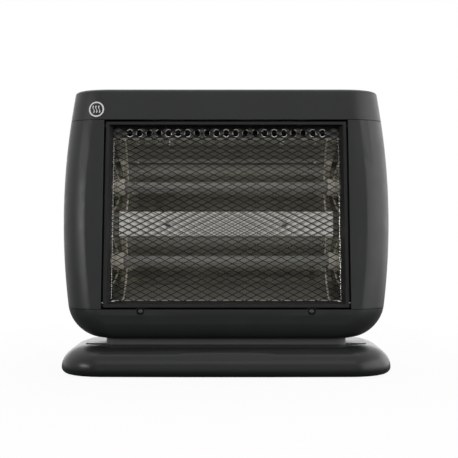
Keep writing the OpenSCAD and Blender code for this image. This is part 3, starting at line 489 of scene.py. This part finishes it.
CASING_DARK, CASING_LIGHT = (0.0185, 0.0203, 0.0198), (0.0215, 0.0235, 0.0230)
BASE_DARK, BASE_LIGHT = (0.0150, 0.0164, 0.0160), (0.0173, 0.0188, 0.0184)
# Painted light: the neck's lighter grey stands in for the front light that reaches it
LIT_NECK_GREY = (0.080, 0.083, 0.081)
FINISH = {
    # More of the dusting on the casing: it also paints the sheen along the top edge
    "casing_plastic": moulded("casing_satin_black", CASING_DARK, CASING_LIGHT, 0.40, dust_and_sheen=0.07,
                              neck=LIT_NECK_GREY, Specular_IOR_Level=0.42),
    "base_plastic": moulded("base_satin_black", BASE_DARK, BASE_LIGHT, 0.38, dust_and_sheen=0.01,
                            Specular_IOR_Level=0.15, Coat_Weight=0.42, Coat_Roughness=0.27),
    "under_plastic": moulded("under_matt_black", (0.012, 0.012, 0.012), (0.019, 0.019, 0.019), 0.55,
                             grain=1800, depth=0.04),
    "foot_rubber": rubber(),
    "guard_black": enamel("frame_enamel", (0.010, 0.010, 0.010), (0.016, 0.016, 0.0155), 0.34),
    "mesh_black": enamel("mesh_enamel", (0.004, 0.004, 0.004), (0.007, 0.007, 0.0065), 0.16),
    "reflector_metal": polished_sheet(),
    "rim_metal": turned_metal("pressed_rims", (0.60, 0.60, 0.57), (0.74, 0.73, 0.70), 0.18),
    "shield_steel": galvanised(),
    "quartz": quartz_glass(),
    "heating_wire": heating_alloy(),
    "ceramic": steatite(),
    "stud_brass": turned_metal("brass", (0.55, 0.42, 0.20), (0.72, 0.57, 0.30), 0.32),
    "screw_steel": turned_metal("zinc_plate", (0.42, 0.43, 0.44), (0.60, 0.61, 0.61), 0.30),
    "print_white": moulded("pad_printed_white", (0.74, 0.74, 0.73), (0.82, 0.82, 0.81), 0.5),
    "screw_black": turned_metal("blackened_steel", (0.10, 0.10, 0.10), (0.16, 0.16, 0.16), 0.30),
    "spring_steel": turned_metal("spring_steel", (0.34, 0.35, 0.36), (0.50, 0.51, 0.52), 0.26),
    "switch_plastic": moulded("switch_gloss_black", (0.010, 0.010, 0.010), (0.015, 0.015, 0.015), 0.22,
                              grain=900, depth=0.006),
    "block_plastic": moulded("terminal_white", (0.62, 0.61, 0.57), (0.72, 0.71, 0.67), 0.42),
    "gland_rubber": rubber(),
    "plunger_plastic": moulded("plunger_ivory", (0.58, 0.56, 0.49), (0.68, 0.66, 0.58), 0.38),
    "cutout_metal": turned_metal("cutout_tinplate", (0.50, 0.51, 0.52), (0.66, 0.67, 0.68), 0.34),
}

# ---- Casing and base --------------------------------------------------------------------------

BASE_LEVELS = (SOLE_Z, BASE_H)
BODY_LEVELS = (BODY_BOT, BODY_TOP)


def inside_box(bm):
    """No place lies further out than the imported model's box."""
    for v in bm.verts:
        v.co = Vector([min(max(c, low), high) for c, low, high in zip(v.co, *cad_bounds)])


def true_casing(bm):
    """A casing part's outer facets settle on the casing's curved skin."""
    follow_form(bm, casing_form, BODY_LEVELS)
    inside_box(bm)


def true_base(bm):
    """The base's outer facets settle on its pillow form."""
    follow_form(bm, base_form, BASE_LEVELS)
    inside_box(bm)


for shell in ("top_cap", "side_panel_left", "side_panel_right", "bottom_cap", "rear_cover"):
    dressed(shell, "moulding", 0.5, 3, true_casing)
dressed("base_shell", "moulding", 0.35, 3, true_base)
dressed("base_plate", "moulding", 0.4)
dressed("rubber_feet", "moulding", 0.5, 3)

# ---- Guard ------------------------------------------------------------------------------------

STRAND, FINE_STRAND, TWIST = 1.1, 0.78, 0.45
SLANT = math.hypot(MESH_DX, MESH_DZ) / 2
MESH_BORDER, NEAR_EDGE, NEAR_TIP = 3.1, 0.1, 0.3
# The guard frame's uprights lie beyond FRAME_CORNERS from the middle; its top bevel lies in BEVEL_BAND
# below the top edge and further in than BEVEL_DEPTH, and moves up by STEEPER
FRAME_CORNERS, BEVEL_BAND, BEVEL_DEPTH, STEEPER = 100, (4, 8), 2, 2.6


def mesh_middle():
    """How far up the slope the middle of the guard mesh lies."""
    low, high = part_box("guard_mesh")
    return front_place((low + high) / 2)[2]


def mesh_opening(x, up):
    """How far out in its opening a place lies, 1 on the opening's edge, and the opening's centre."""
    half_x = MESH_DX / 2 - STRAND * SLANT / MESH_DZ
    half_up = MESH_DZ / 2 - STRAND * SLANT / MESH_DX
    column, row = x / (MESH_DX / 2), up / (MESH_DZ / 2)
    centres = [
        (i * MESH_DX / 2, j * MESH_DZ / 2)
        for i in (math.floor(column), math.ceil(column))
        for j in (math.floor(row), math.ceil(row))
        if (i + j) % 2 == 0
    ]
    return min(
        (abs(x - centre_x) / half_x + abs(up - centre_up) / half_up, centre_x, centre_up)
        for centre_x, centre_up in centres
    )


def pulled_strands(bm):
    """The slit sheet was pulled open: fine strands, each opening's top edge back, its lower one forward."""
    middle = mesh_middle()
    border = max(front_place(v.co)[0] for v in bm.verts) - MESH_BORDER
    grow = (MESH_DX / 2 - FINE_STRAND * SLANT / MESH_DZ) / (MESH_DX / 2 - STRAND * SLANT / MESH_DZ)
    for v in bm.verts:
        x, depth, up = front_place(v.co)
        up -= middle
        out, centre_x, centre_up = mesh_opening(x, up)
        if abs(x) > border or abs(out - 1) > NEAR_EDGE:
            continue
        if abs(x - centre_x) < NEAR_TIP:
            depth -= TWIST if up > centre_up else -TWIST
        x = centre_x + grow * (x - centre_x)
        v.co = on_front(x, depth, middle + centre_up + grow * (up - centre_up))


def steep_top(bm):
    """Along the top the guard frame's bevel is steeper than at the sides."""
    middle = mesh_middle()
    places = [(v, *front_place(v.co)) for v in bm.verts]
    half = max(abs(up - middle) for _, x, _, up in places if abs(x) > FRAME_CORNERS)
    near, far = BEVEL_BAND
    for v, x, depth, up in places:
        if near < half + middle - up < far and depth > BEVEL_DEPTH:
            v.co = on_front(x, depth, up + STEEPER)


dressed("guard_frame", "sheet", 0.55, 3, steep_top)
dressed("guard_mesh", "expanded", 0.1, 1, pulled_strands, FINISH["mesh_black"])

# Painted shade: black strips that darken the gap around the guard frame
SHADE_STRIP_X, SHADE_STRIP_DEPTH, SHADE_STRIP_T = 124, 8.32, 0.5
# Each strip's middle, across and up the slope, its width and its height
SHADE_STRIPS = {
    "side_shade_strip_left": (-SHADE_STRIP_X, 0, 4.4, 2 * MOUTH_HALF),
    "side_shade_strip_right": (SHADE_STRIP_X, 0, 4.4, 2 * MOUTH_HALF),
    "lower_shade_strip": (0, -MOUTH_HALF - 3, 222, 5.4),
}


def shade_strips():
    """Black strips on the reflector's flanges, behind the gap around the guard frame: dark sheets that
    paint the shade in that gap.
    """
    for name, (x, up, width, height) in SHADE_STRIPS.items():
        bm = bmesh.new()
        bmesh.ops.create_cube(bm, size=1)
        bmesh.ops.scale(bm, verts=bm.verts, vec=(width, SHADE_STRIP_T, height))
        cut_long_edges(bm)
        for v in bm.verts:
            v.co = on_front(x + v.co.x, SHADE_STRIP_DEPTH + v.co.y, up + v.co.z)
        round_folds(bm, 0.15, 2)
        finish_piece(bm, name, "heater", FINISH["gland_rubber"])


shade_strips()

# ---- Turned and wound pieces ------------------------------------------------------------------

STATIONS = 24
FRONT_OUT = Vector((0, -COS_LEAN, SIN_LEAN))
GUARD_SCREW_X, GUARD_SCREW_U = WIN_W / 2 - 39, (WIN_LO - AXIS_Z) / COS_LEAN - 2
SEAT_DEPTH, GUARD_HEAD = 2.4, 0.74
POST_X, POST_U, SPACER_X = WIN_W / 2 + 7, 58, 60
REAR_SCREW_X, REAR_SCREW_U = WIN_W / 2 - 7, (-76, 4, 84)
BASE_SCREW_X, BASE_SCREW_Y = 75, 38
GUARD_SHANK, REAR_SHANK, BASE_SHANK, POST_SHANK, SPACER_SHANK = 9, 10, 12, 5, 14
REAR_OUT = Vector((0, math.cos(REAR_LEAN), -math.sin(REAR_LEAN)))
REAR_UP = Vector((0, math.sin(REAR_LEAN), math.cos(REAR_LEAN)))
REAR_MID = Vector((0, REAR_REACH + (AXIS_Z - BODY_BOT) * math.tan(REAR_LEAN), AXIS_Z))


def new_boundary(grown):
    """The outer vertices and edges that an extrusion has just made."""
    verts = {g for g in grown["geom"] if isinstance(g, bmesh.types.BMVert)}
    return verts, [
        g for g in grown["geom"]
        if isinstance(g, bmesh.types.BMEdge) and g.verts[0] in verts and g.verts[1] in verts
    ]


def ring_stack(bm, levels):
    """A turned body: a ring at each (radius, height), where a radius may depend on the angle."""
    ring = bmesh.ops.create_circle(bm, segments=STATIONS, radius=1, cap_ends=True)["verts"]
    edges = list({e for v in ring for e in v.link_edges})
    made = set(ring)
    for k, (radius, height) in enumerate(levels):
        if k:
            ring, edges = new_boundary(bmesh.ops.extrude_edge_only(bm, edges=edges))
            made |= set(ring)
        for v in ring:
            turn = math.atan2(v.co.y, v.co.x)
            r = radius(turn) if callable(radius) else radius
            v.co = Vector((r * math.cos(turn), r * math.sin(turn), height)) * MM
    bmesh.ops.contextual_create(bm, geom=edges)
    return made


def joined_ends(bm, made):
    """A turned body's two flat ends open, and a wall joins them, so that it becomes a ring."""
    flat = [f for f in bm.faces if len(f.verts) == STATIONS and set(f.verts) <= made]
    bmesh.ops.delete(bm, geom=flat, context="FACES_ONLY")
    ends = [e for v in made for e in v.link_edges if e.is_boundary]
    bmesh.ops.bridge_loops(bm, edges=list(set(ends)))


def stand_on(bm, made, seat, outward):
    """A body that was made along z stands on a seat, along its outward axis."""
    turn = outward.to_track_quat("Z", "Y").to_matrix().to_4x4()
    bmesh.ops.transform(bm, matrix=Matrix.Translation(seat) @ turn, verts=list(made))


def cross(turn, arm=1.9):
    """Radius of a cross-shaped recess at an angle."""
    off = abs((turn + math.pi / 4) % (math.pi / 2) - math.pi / 4)
    corner = math.radians(15)
    return arm / math.cos(off) if off < corner + 0.01 else arm * math.tan(corner) / math.sin(off)


HEAD_LEVELS = [
    (SCREW_R, 0), (HEAD_R - 0.15, 0), (HEAD_R, 0.15), (HEAD_R, 0.75), (HEAD_R - 0.12, 1.1),
    (HEAD_R - 0.45, 1.5), (HEAD_R - 0.95, 1.8), (lambda turn: cross(turn) + 0.12, HEAD_H - 0.06),
    (cross, HEAD_H - 0.14), (lambda turn: 0.72 * cross(turn), 0.55),
]
# Painted shade: black cups that darken the recesses around the guard screws, as radius and height
SHADE_CUP_LEVELS = [(3.92, 0), (3.92, 1.5), (3.7, 1.5), (3.6, 0.2), (2.5, 0.2), (2.5, 0)]
RIM_LEVELS = [(VENT_W / 2 + wider, height) for wider, height in (
    (-0.02, 0.6), (-0.02, -0.4), (0.2, -0.75), (0.55, -0.8), (0.95, -0.5), (1.15, 0.1), (0.3, 0.1),
    (0.3, 0.6),
)]


def screws(node, spots, wide=1.0):
    """A node's pan-head screws: each spot is a seat, its outward axis and the shank's length."""
    bm = bmesh.new()
    for seat, outward, length in spots:
        made = ring_stack(bm, [(SCREW_R - 0.5, -length), (SCREW_R, 0.6 - length)] + HEAD_LEVELS)
        bmesh.ops.scale(bm, vec=(wide, wide, 1), verts=list(made))
        stand_on(bm, made, seat, outward)
    bmesh.ops.recalc_face_normals(bm, faces=bm.faces)
    slot = SLOT_OF[node]
    finish_piece(bm, f"{node}_cross_head", BODY_OF[node], FINISH[slot], (node,))


def recess_shade_cups():
    """Black cups that line the recesses around the guard screws and paint the shade in them."""
    bm = bmesh.new()
    for x in (-GUARD_SCREW_X, GUARD_SCREW_X):
        made = ring_stack(bm, SHADE_CUP_LEVELS)
        joined_ends(bm, made)
        stand_on(bm, made, on_front(x, SEAT_DEPTH, GUARD_SCREW_U), FRONT_OUT)
    bmesh.ops.recalc_face_normals(bm, faces=bm.faces)
    finish_piece(bm, "recess_shade_cups", "heater", FINISH["gland_rubber"])


def heating_coil(node, up):
    """The resistance wire: close curls that draw in to a straight lead at each end."""
    bm = bmesh.new()
    bmesh.ops.create_circle(bm, segments=6, radius=WIRE_R)
    bmesh.ops.rotate(bm, verts=bm.verts, matrix=Matrix.Rotation(math.pi / 2, 3, "X"))
    bmesh.ops.translate(bm, verts=bm.verts, vec=(-COIL_HALF, 0, COIL_R))
    bmesh.ops.spin(
        bm, geom=bm.edges[:], cent=(0, 0, 0), axis=(1, 0, 0), angle=2 * math.pi * COIL_TURNS,
        dvec=(2 * COIL_HALF / (CURL_STEPS * COIL_TURNS), 0, 0), steps=CURL_STEPS * COIL_TURNS,
    )
    for v in bm.verts:
        share = min(max((COIL_HALF + 0.5 - abs(v.co.x)) / DRAW_IN, 0), 1)
        v.co.y *= share
        v.co.z *= share
    bmesh.ops.holes_fill(bm, edges=[e for e in bm.edges if e.is_boundary], sides=8)
    for side in (-1, 1):
        bmesh.ops.create_cone(
            bm, segments=8, radius1=WIRE_R, radius2=WIRE_R, depth=LEAD_HALF - COIL_HALF + LEAD_LAP,
            cap_ends=True, matrix=Matrix.Translation((side * (LEAD_HALF + COIL_HALF - LEAD_LAP) / 2, 0, 0))
            @ Matrix.Rotation(math.pi / 2, 4, "Y"),
        )
    bmesh.ops.recalc_face_normals(bm, faces=bm.faces)
    for v in bm.verts:
        v.co = on_front(v.co.x, TUBE_DEPTH + v.co.y, up * TUBE_OFFSET + v.co.z)
    slot = SLOT_OF[node]
    finish_piece(bm, f"{node}_wound", BODY_OF[node], FINISH[slot], (node,), weighted=False)


def vent_rims():
    """The turned-up rims of the slots that are punched in the strip above the reflector."""
    bm = bmesh.new()
    count = math.floor((TROUGH_LEN - VENT_W) / VENT_PITCH / 2)
    straight = (VENT_H - VENT_W) / 2
    for i in range(-count, count + 1):
        made = ring_stack(bm, RIM_LEVELS)
        joined_ends(bm, made)
        for v in made:
            x, up, depth = v.co / MM
            up += straight * (1 if up > 0 else -1)
            v.co = on_front(i * VENT_PITCH + x, MOUTH_DEPTH + depth, MOUTH_HALF + VENT_STRIP / 2 + up)
    bmesh.ops.recalc_face_normals(bm, faces=bm.faces)
    finish_piece(bm, "vent_rims", "heater", FINISH["rim_metal"])


def reflection_cords():
    """Cream cords in the ceramic finish, laid across the troughs just inside their ends: a painted
    reflection of the side plates' lit edges.
    """
    bm = bmesh.new()
    bmesh.ops.create_cone(bm, segments=8, radius1=REFLECTION_CORD_R, radius2=REFLECTION_CORD_R, depth=1, cap_ends=True)
    lengthwise = [e for e in bm.edges if e.calc_length() > 0.99]
    bmesh.ops.subdivide_edges(bm, edges=lengthwise, cuts=REFLECTION_CORD_CUTS, use_grid_fill=True)
    places = [(side, up) for side in (-1, 1) for up in (-1, 1)]
    for _ in range(2):
        bmesh.ops.duplicate(bm, geom=bm.verts[:] + bm.edges[:] + bm.faces[:])
    bm.verts.ensure_lookup_table()
    each = len(bm.verts) // len(places)
    for k, v in enumerate(bm.verts):
        side, up = places[k // each]
        u = RIDGE_HALF + (v.co.z + 0.5) * (MOUTH_HALF - RIDGE_HALF)
        rake = -(u - TUBE_OFFSET) / (2 * FOCAL)
        depth = TROUGH_DEPTH - (u - TUBE_OFFSET) ** 2 / (4 * FOCAL)
        out = v.co.y / math.hypot(1, rake)
        v.co = on_front(side * REFLECTION_CORD_X + v.co.x, depth + out, up * (u - out * rake))
    bmesh.ops.recalc_face_normals(bm, faces=bm.faces)
    finish_piece(bm, "reflection_cords", "heater", FINISH["ceramic"])


def mouth_beads():
    """The rolled front edges of the reflector's two side plates."""
    bm = bmesh.new()
    for x in (-BEAD_X, BEAD_X):
        bmesh.ops.create_cone(
            bm, segments=10, radius1=BEAD_R, radius2=BEAD_R, depth=2 * (MOUTH_HALF - BEAD_END),
            cap_ends=True, matrix=Matrix.Translation((x, 0, 0)),
        )
    cut_long_edges(bm)
    for v in bm.verts:
        v.co = on_front(v.co.x, MOUTH_DEPTH - BEAD_SINK + v.co.y, v.co.z)
    finish_piece(bm, "mouth_beads", "heater", FINISH["rim_metal"])


screws("guard_screws", [
    (on_front(x, SEAT_DEPTH, GUARD_SCREW_U), FRONT_OUT, GUARD_SHANK)
    for x in (-GUARD_SCREW_X, GUARD_SCREW_X)
], GUARD_HEAD)
recess_shade_cups()
screws("rear_screws", [
    ((REAR_MID + u * REAR_UP + Vector((x, 0, 0))) * MM, REAR_OUT, REAR_SHANK)
    for x in (-REAR_SCREW_X, REAR_SCREW_X) for u in REAR_SCREW_U
])
screws("base_screws", [
    (Vector((x, y, PLATE_Z + 0.4 + HEAD_H)) * MM, Vector((0, 0, -1)), BASE_SHANK)
    for x in (-BASE_SCREW_X, BASE_SCREW_X) for y in (-BASE_SCREW_Y, BASE_SCREW_Y)
])
screws("reflector_screws", [
    (on_front(x, MOUTH_DEPTH + SHEET_T, u), -FRONT_OUT, POST_SHANK)
    for x in (-POST_X, POST_X) for u in (-POST_U, POST_U)
] + [(on_front(x, RIDGE_DEPTH, 0), FRONT_OUT, SPACER_SHANK) for x in (-SPACER_X, SPACER_X)])
heating_coil("heating_coil_upper", 1)
heating_coil("heating_coil_lower", -1)
vent_rims()
reflection_cords()
mouth_beads()

# ---- Printed marks ----------------------------------------------------------------------------

INK_T, INK_GAP = 0.05, 0.01
RING_W, WAVES, WAVE_SWAY, WAVE_H, WAVE_W, WAVE_STEPS = 1.5, (-2.9, 0, 2.9), 0.75, 7.2, 1.1, 12
STROKE, ON_LINE, OFF_R, OFF_Y = 0.6, [(0, 3.4), (0, 7.0)], 1.3, -5.2


def casing_front_y(x, z):
    """Where the casing's skin faces the front at a place, in millimetres."""
    inside, outside = 0.0, -FRONT_REACH - 40.0
    for _ in range(30):
        middle = (inside + outside) / 2
        if casing_form(Vector((x, middle, z))) < 0:
            inside = middle
        else:
            outside = middle
    return outside


def ribbon(bm, path, width):
    """A flat strip of a width along points in the plane, as faces."""
    first = Vector(path[1]) - Vector(path[0])
    side = Vector((-first.y, first.x)).normalized() * width / 2
    start = [bm.verts.new((*(Vector(path[0]) + side * k), 0)) for k in (-1, 1)]
    edge = bm.edges.new(start)
    for here, there in zip(path, path[1:]):
        verts, edges = new_boundary(bmesh.ops.extrude_edge_only(bm, edges=[edge]))
        step = Vector(there) - Vector(here)
        bmesh.ops.translate(bm, verts=list(verts), vec=(*step, 0))
        edge = edges[0]


def ink_ring(bm, inner, outer, segments):
    """A flat ring around the origin, as faces; gives its vertices."""
    rim = bmesh.ops.create_circle(bm, segments=segments, radius=inner)["verts"]
    edges = list({e for v in rim for e in v.link_edges})
    grown, _ = new_boundary(bmesh.ops.extrude_edge_only(bm, edges=edges))
    bmesh.ops.scale(bm, verts=list(grown), vec=(outer / inner,) * 3)
    return rim + list(grown)


def print_on(bm, name, body, place, outward):
    """A flat drawing becomes a thin layer of white ink on the surface that place gives."""
    bmesh.ops.remove_doubles(bm, verts=bm.verts, dist=1e-4)
    for v in bm.verts:
        v.co = place(v.co.x, v.co.y) + outward * INK_GAP * MM
    raised = bmesh.ops.extrude_face_region(bm, geom=bm.faces[:])
    verts = [g for g in raised["geom"] if isinstance(g, bmesh.types.BMVert)]
    bmesh.ops.translate(bm, verts=verts, vec=outward * INK_T * MM)
    bmesh.ops.recalc_face_normals(bm, faces=bm.faces)
    finish_piece(bm, name, body, FINISH["print_white"], weighted=False)


def heat_mark():
    """A plain white ring with three rising heat waves, printed at the left of the top cap."""
    bm = bmesh.new()
    ink_ring(bm, MARK_R - RING_W, MARK_R, 64)
    shares = [step / WAVE_STEPS for step in range(WAVE_STEPS + 1)]
    for middle in WAVES:
        ribbon(bm, [
            (middle + WAVE_SWAY * math.sin(2 * math.pi * share), WAVE_H * (share - 0.5))
            for share in shares
        ], WAVE_W)

    def on_cap(x, up):
        return Vector((MARK_X + x, casing_front_y(MARK_X + x, MARK_Z + up), MARK_Z + up)) * MM

    print_on(bm, "heat_mark", "heater", on_cap, Vector((0, -1, 0)))


def rocker_marks(node, side):
    """The line and circle of on and off, on the two halves of a rocker."""
    pivot = Vector((SWITCH_X + side * SWITCH_PITCH / 2, SWITCH_Y, PIVOT_Z))
    tilt = Matrix.Rotation(ROCKER_SWING / 2, 3, "X")
    slope = math.tan(ROCKER_SWING / 2)

    def on_rocker(x, along):
        return (pivot + tilt @ Vector((x, along, ROCKER_RISE + abs(along) * slope))) * MM

    bm = bmesh.new()
    ribbon(bm, ON_LINE, STROKE)
    off = ink_ring(bm, OFF_R, OFF_R + STROKE, 32)
    bmesh.ops.translate(bm, verts=off, vec=(0, OFF_Y, 0))
    print_on(bm, f"{node}_marks", node, on_rocker, tilt @ Vector((0, 0, 1)))


heat_mark()
rocker_marks("rocker_left", -1)
rocker_marks("rocker_right", 1)

# ---- Everything that keeps its construction shape, with softened edges ------------------------

SOFTENED = {
    "sheet": (["reflector", "reflector_side_left", "reflector_side_right", "heat_shield"], 0.12),
    "glass": (["quartz_tube_upper", "quartz_tube_lower"], 0.25),
    "ceramic": (["end_cap_upper_left", "end_cap_upper_right", "end_cap_lower_left",
                 "end_cap_lower_right"], 0.3),
    "metal": (["terminal_studs", "thermal_cutout"], 0.2),
    "moulding": (["terminal_block", "cord_gland", "switch_frame_left", "switch_frame_right",
                  "rocker_left", "rocker_right", "tip_plunger", "plunger_guide", "tip_switch"], 0.25),
    "set": (["neck_screws"], 0.15),
}
for suffix, (nodes, width) in SOFTENED.items():
    for node in nodes:
        dressed(node, suffix, width)

spring = frame["nodes"]["plunger_spring"].data.materials
spring.clear()
spring.append(FINISH["spring_steel"])

# ---- Studio -----------------------------------------------------------------------------------

FLOOR_SIZE = 60.0
FLOOR_DIM, FLOOR_PALE = (0.09, 0.09, 0.09), (0.86, 0.86, 0.86)
GLOW_NEAR, GLOW_FAR, GLOW_FADE = 0.93, 1.0, (0.2, 0.7)
MIRRORED, MIRROR_FADE = 0.85, (-0.1, 1.2)


def floor():
    """Pale to the camera and white further out; dim as a light source, and bright behind in reflections."""
    bm = bmesh.new()
    bmesh.ops.create_grid(bm, x_segments=1, y_segments=1, size=FLOOR_SIZE / 2)
    mesh = bpy.data.meshes.new("studio_floor")
    bm.to_mesh(mesh)
    bm.free()
    plane = bpy.data.objects.new("studio_floor", mesh)
    bpy.context.scene.collection.objects.link(plane)
    f = Finish("floor_white", Roughness=0.9, Specular_IOR_Level=0.1)
    glow = f.node("ShaderNodeEmission", {"Color": (1, 1, 1, 1), "Strength": 1.0})
    rays = f.node("ShaderNodeLightPath").outputs
    f.colour(f.mixed(rays["Is Camera Ray"], FLOOR_DIM, FLOOR_PALE))
    away = f.node("ShaderNodeVectorMath", {0: f.place}, operation="LENGTH").outputs["Value"]
    seen = f.maths("MULTIPLY", rays["Is Camera Ray"], f.span(away, GLOW_NEAR, GLOW_FAR, *GLOW_FADE))
    mirrored = f.maths("MULTIPLY", f.bounced(rays), f.span(f.along("Y"), 0, MIRRORED, *MIRROR_FADE))
    share = f.maths("MAXIMUM", seen, mirrored)
    mix = f.node("ShaderNodeMixShader", {0: share, 1: f.shader.outputs["BSDF"], 2: glow.outputs[0]})
    f.links.new(mix.outputs[0], f.nodes["Material Output"].inputs["Surface"])
    mesh.materials.append(f.material)


MIDDLE = (0, 0, 0.15)
# Each lamp's place, width, height and power; all of them face the middle of the heater
LAMPS = {
    "left_softbox": ((-1.30, -0.88, 0.55), 0.46, 0.15, 5.2),
    "right_softbox": ((1.56, -0.64, 0.65), 1.9, 1.1, 13.4),
    "front_softbox": ((0, -2.6, 0.66), 2.2, 1.16, 4.7),
    "upper_softbox": ((0, -1.75, 1.88), 1.9, 1.0, 6.6),
    "top_softbox": ((0, 0.75, 1.9), 1.8, 1.5, 9),
    "rear_softbox": ((0, 2.4, 0.45), 3.2, 0.8, 8),
    "right_rear_softbox": ((2.0, 1.2, 0.6), 1.6, 1.2, 7),
}


def softbox(name, place, width, height, power):
    """A soft lamp that stands outside the picture in every view."""
    lamp = bpy.data.lights.new(name, "AREA")
    lamp.shape = "RECTANGLE"
    lamp.size, lamp.size_y, lamp.energy = width, height, power
    holder = bpy.data.objects.new(name, lamp)
    bpy.context.scene.collection.objects.link(holder)
    holder.location = place
    holder.rotation_euler = (Vector(MIDDLE) - Vector(place)).to_track_quat("-Z", "Y").to_euler()
    holder.visible_camera = False


LIT_SIDE, LIT_FADE = (0.12, 0.9, 0.35), (-0.75, 0.45)
ROOM_DARK, ROOM_LIT, AMBIENT = 0.08, 1.0, 0.38


def studio_world():
    """White to look at; the side of the room behind the camera stays dim, as in a studio."""
    world = bpy.data.worlds.new("studio")
    world.use_nodes = True
    g = Graph(world.node_tree)
    rays = g.node("ShaderNodeLightPath").outputs
    toward = g.node("ShaderNodeTexCoord").outputs["Generated"]
    lit = g.node("ShaderNodeVectorMath", {0: toward, 1: LIT_SIDE}, operation="DOT_PRODUCT").outputs["Value"]
    room = g.node("ShaderNodeMix", {
        0: g.bounced(rays), 2: AMBIENT, 3: g.span(lit, ROOM_DARK, ROOM_LIT, *LIT_FADE),
    }, data_type="FLOAT").outputs[0]
    light = g.nodes["Background"]
    light.inputs["Color"].default_value = (1, 1, 1, 1)
    g.links.new(g.maths("MAXIMUM", rays["Is Camera Ray"], room), light.inputs["Strength"])
    bpy.context.scene.world = world


SENSOR_W, LENS = 36, 91.26
EYE, EYE_DOWN = (0.0029, -1.2, 0.150), 0.21


def camera():
    """The photograph's low viewpoint, straight in front."""
    data = bpy.data.cameras.new("camera")
    data.sensor_width = SENSOR_W
    data.lens = LENS
    holder = bpy.data.objects.new("camera", data)
    bpy.context.scene.collection.objects.link(holder)
    holder.location = EYE
    holder.rotation_euler = (math.radians(90 - EYE_DOWN), 0, 0)
    bpy.context.scene.camera = holder


floor()
for name, settings in LAMPS.items():
    softbox(name, *settings)
studio_world()
camera()
bpy.context.scene.view_settings.view_transform = "Standard"
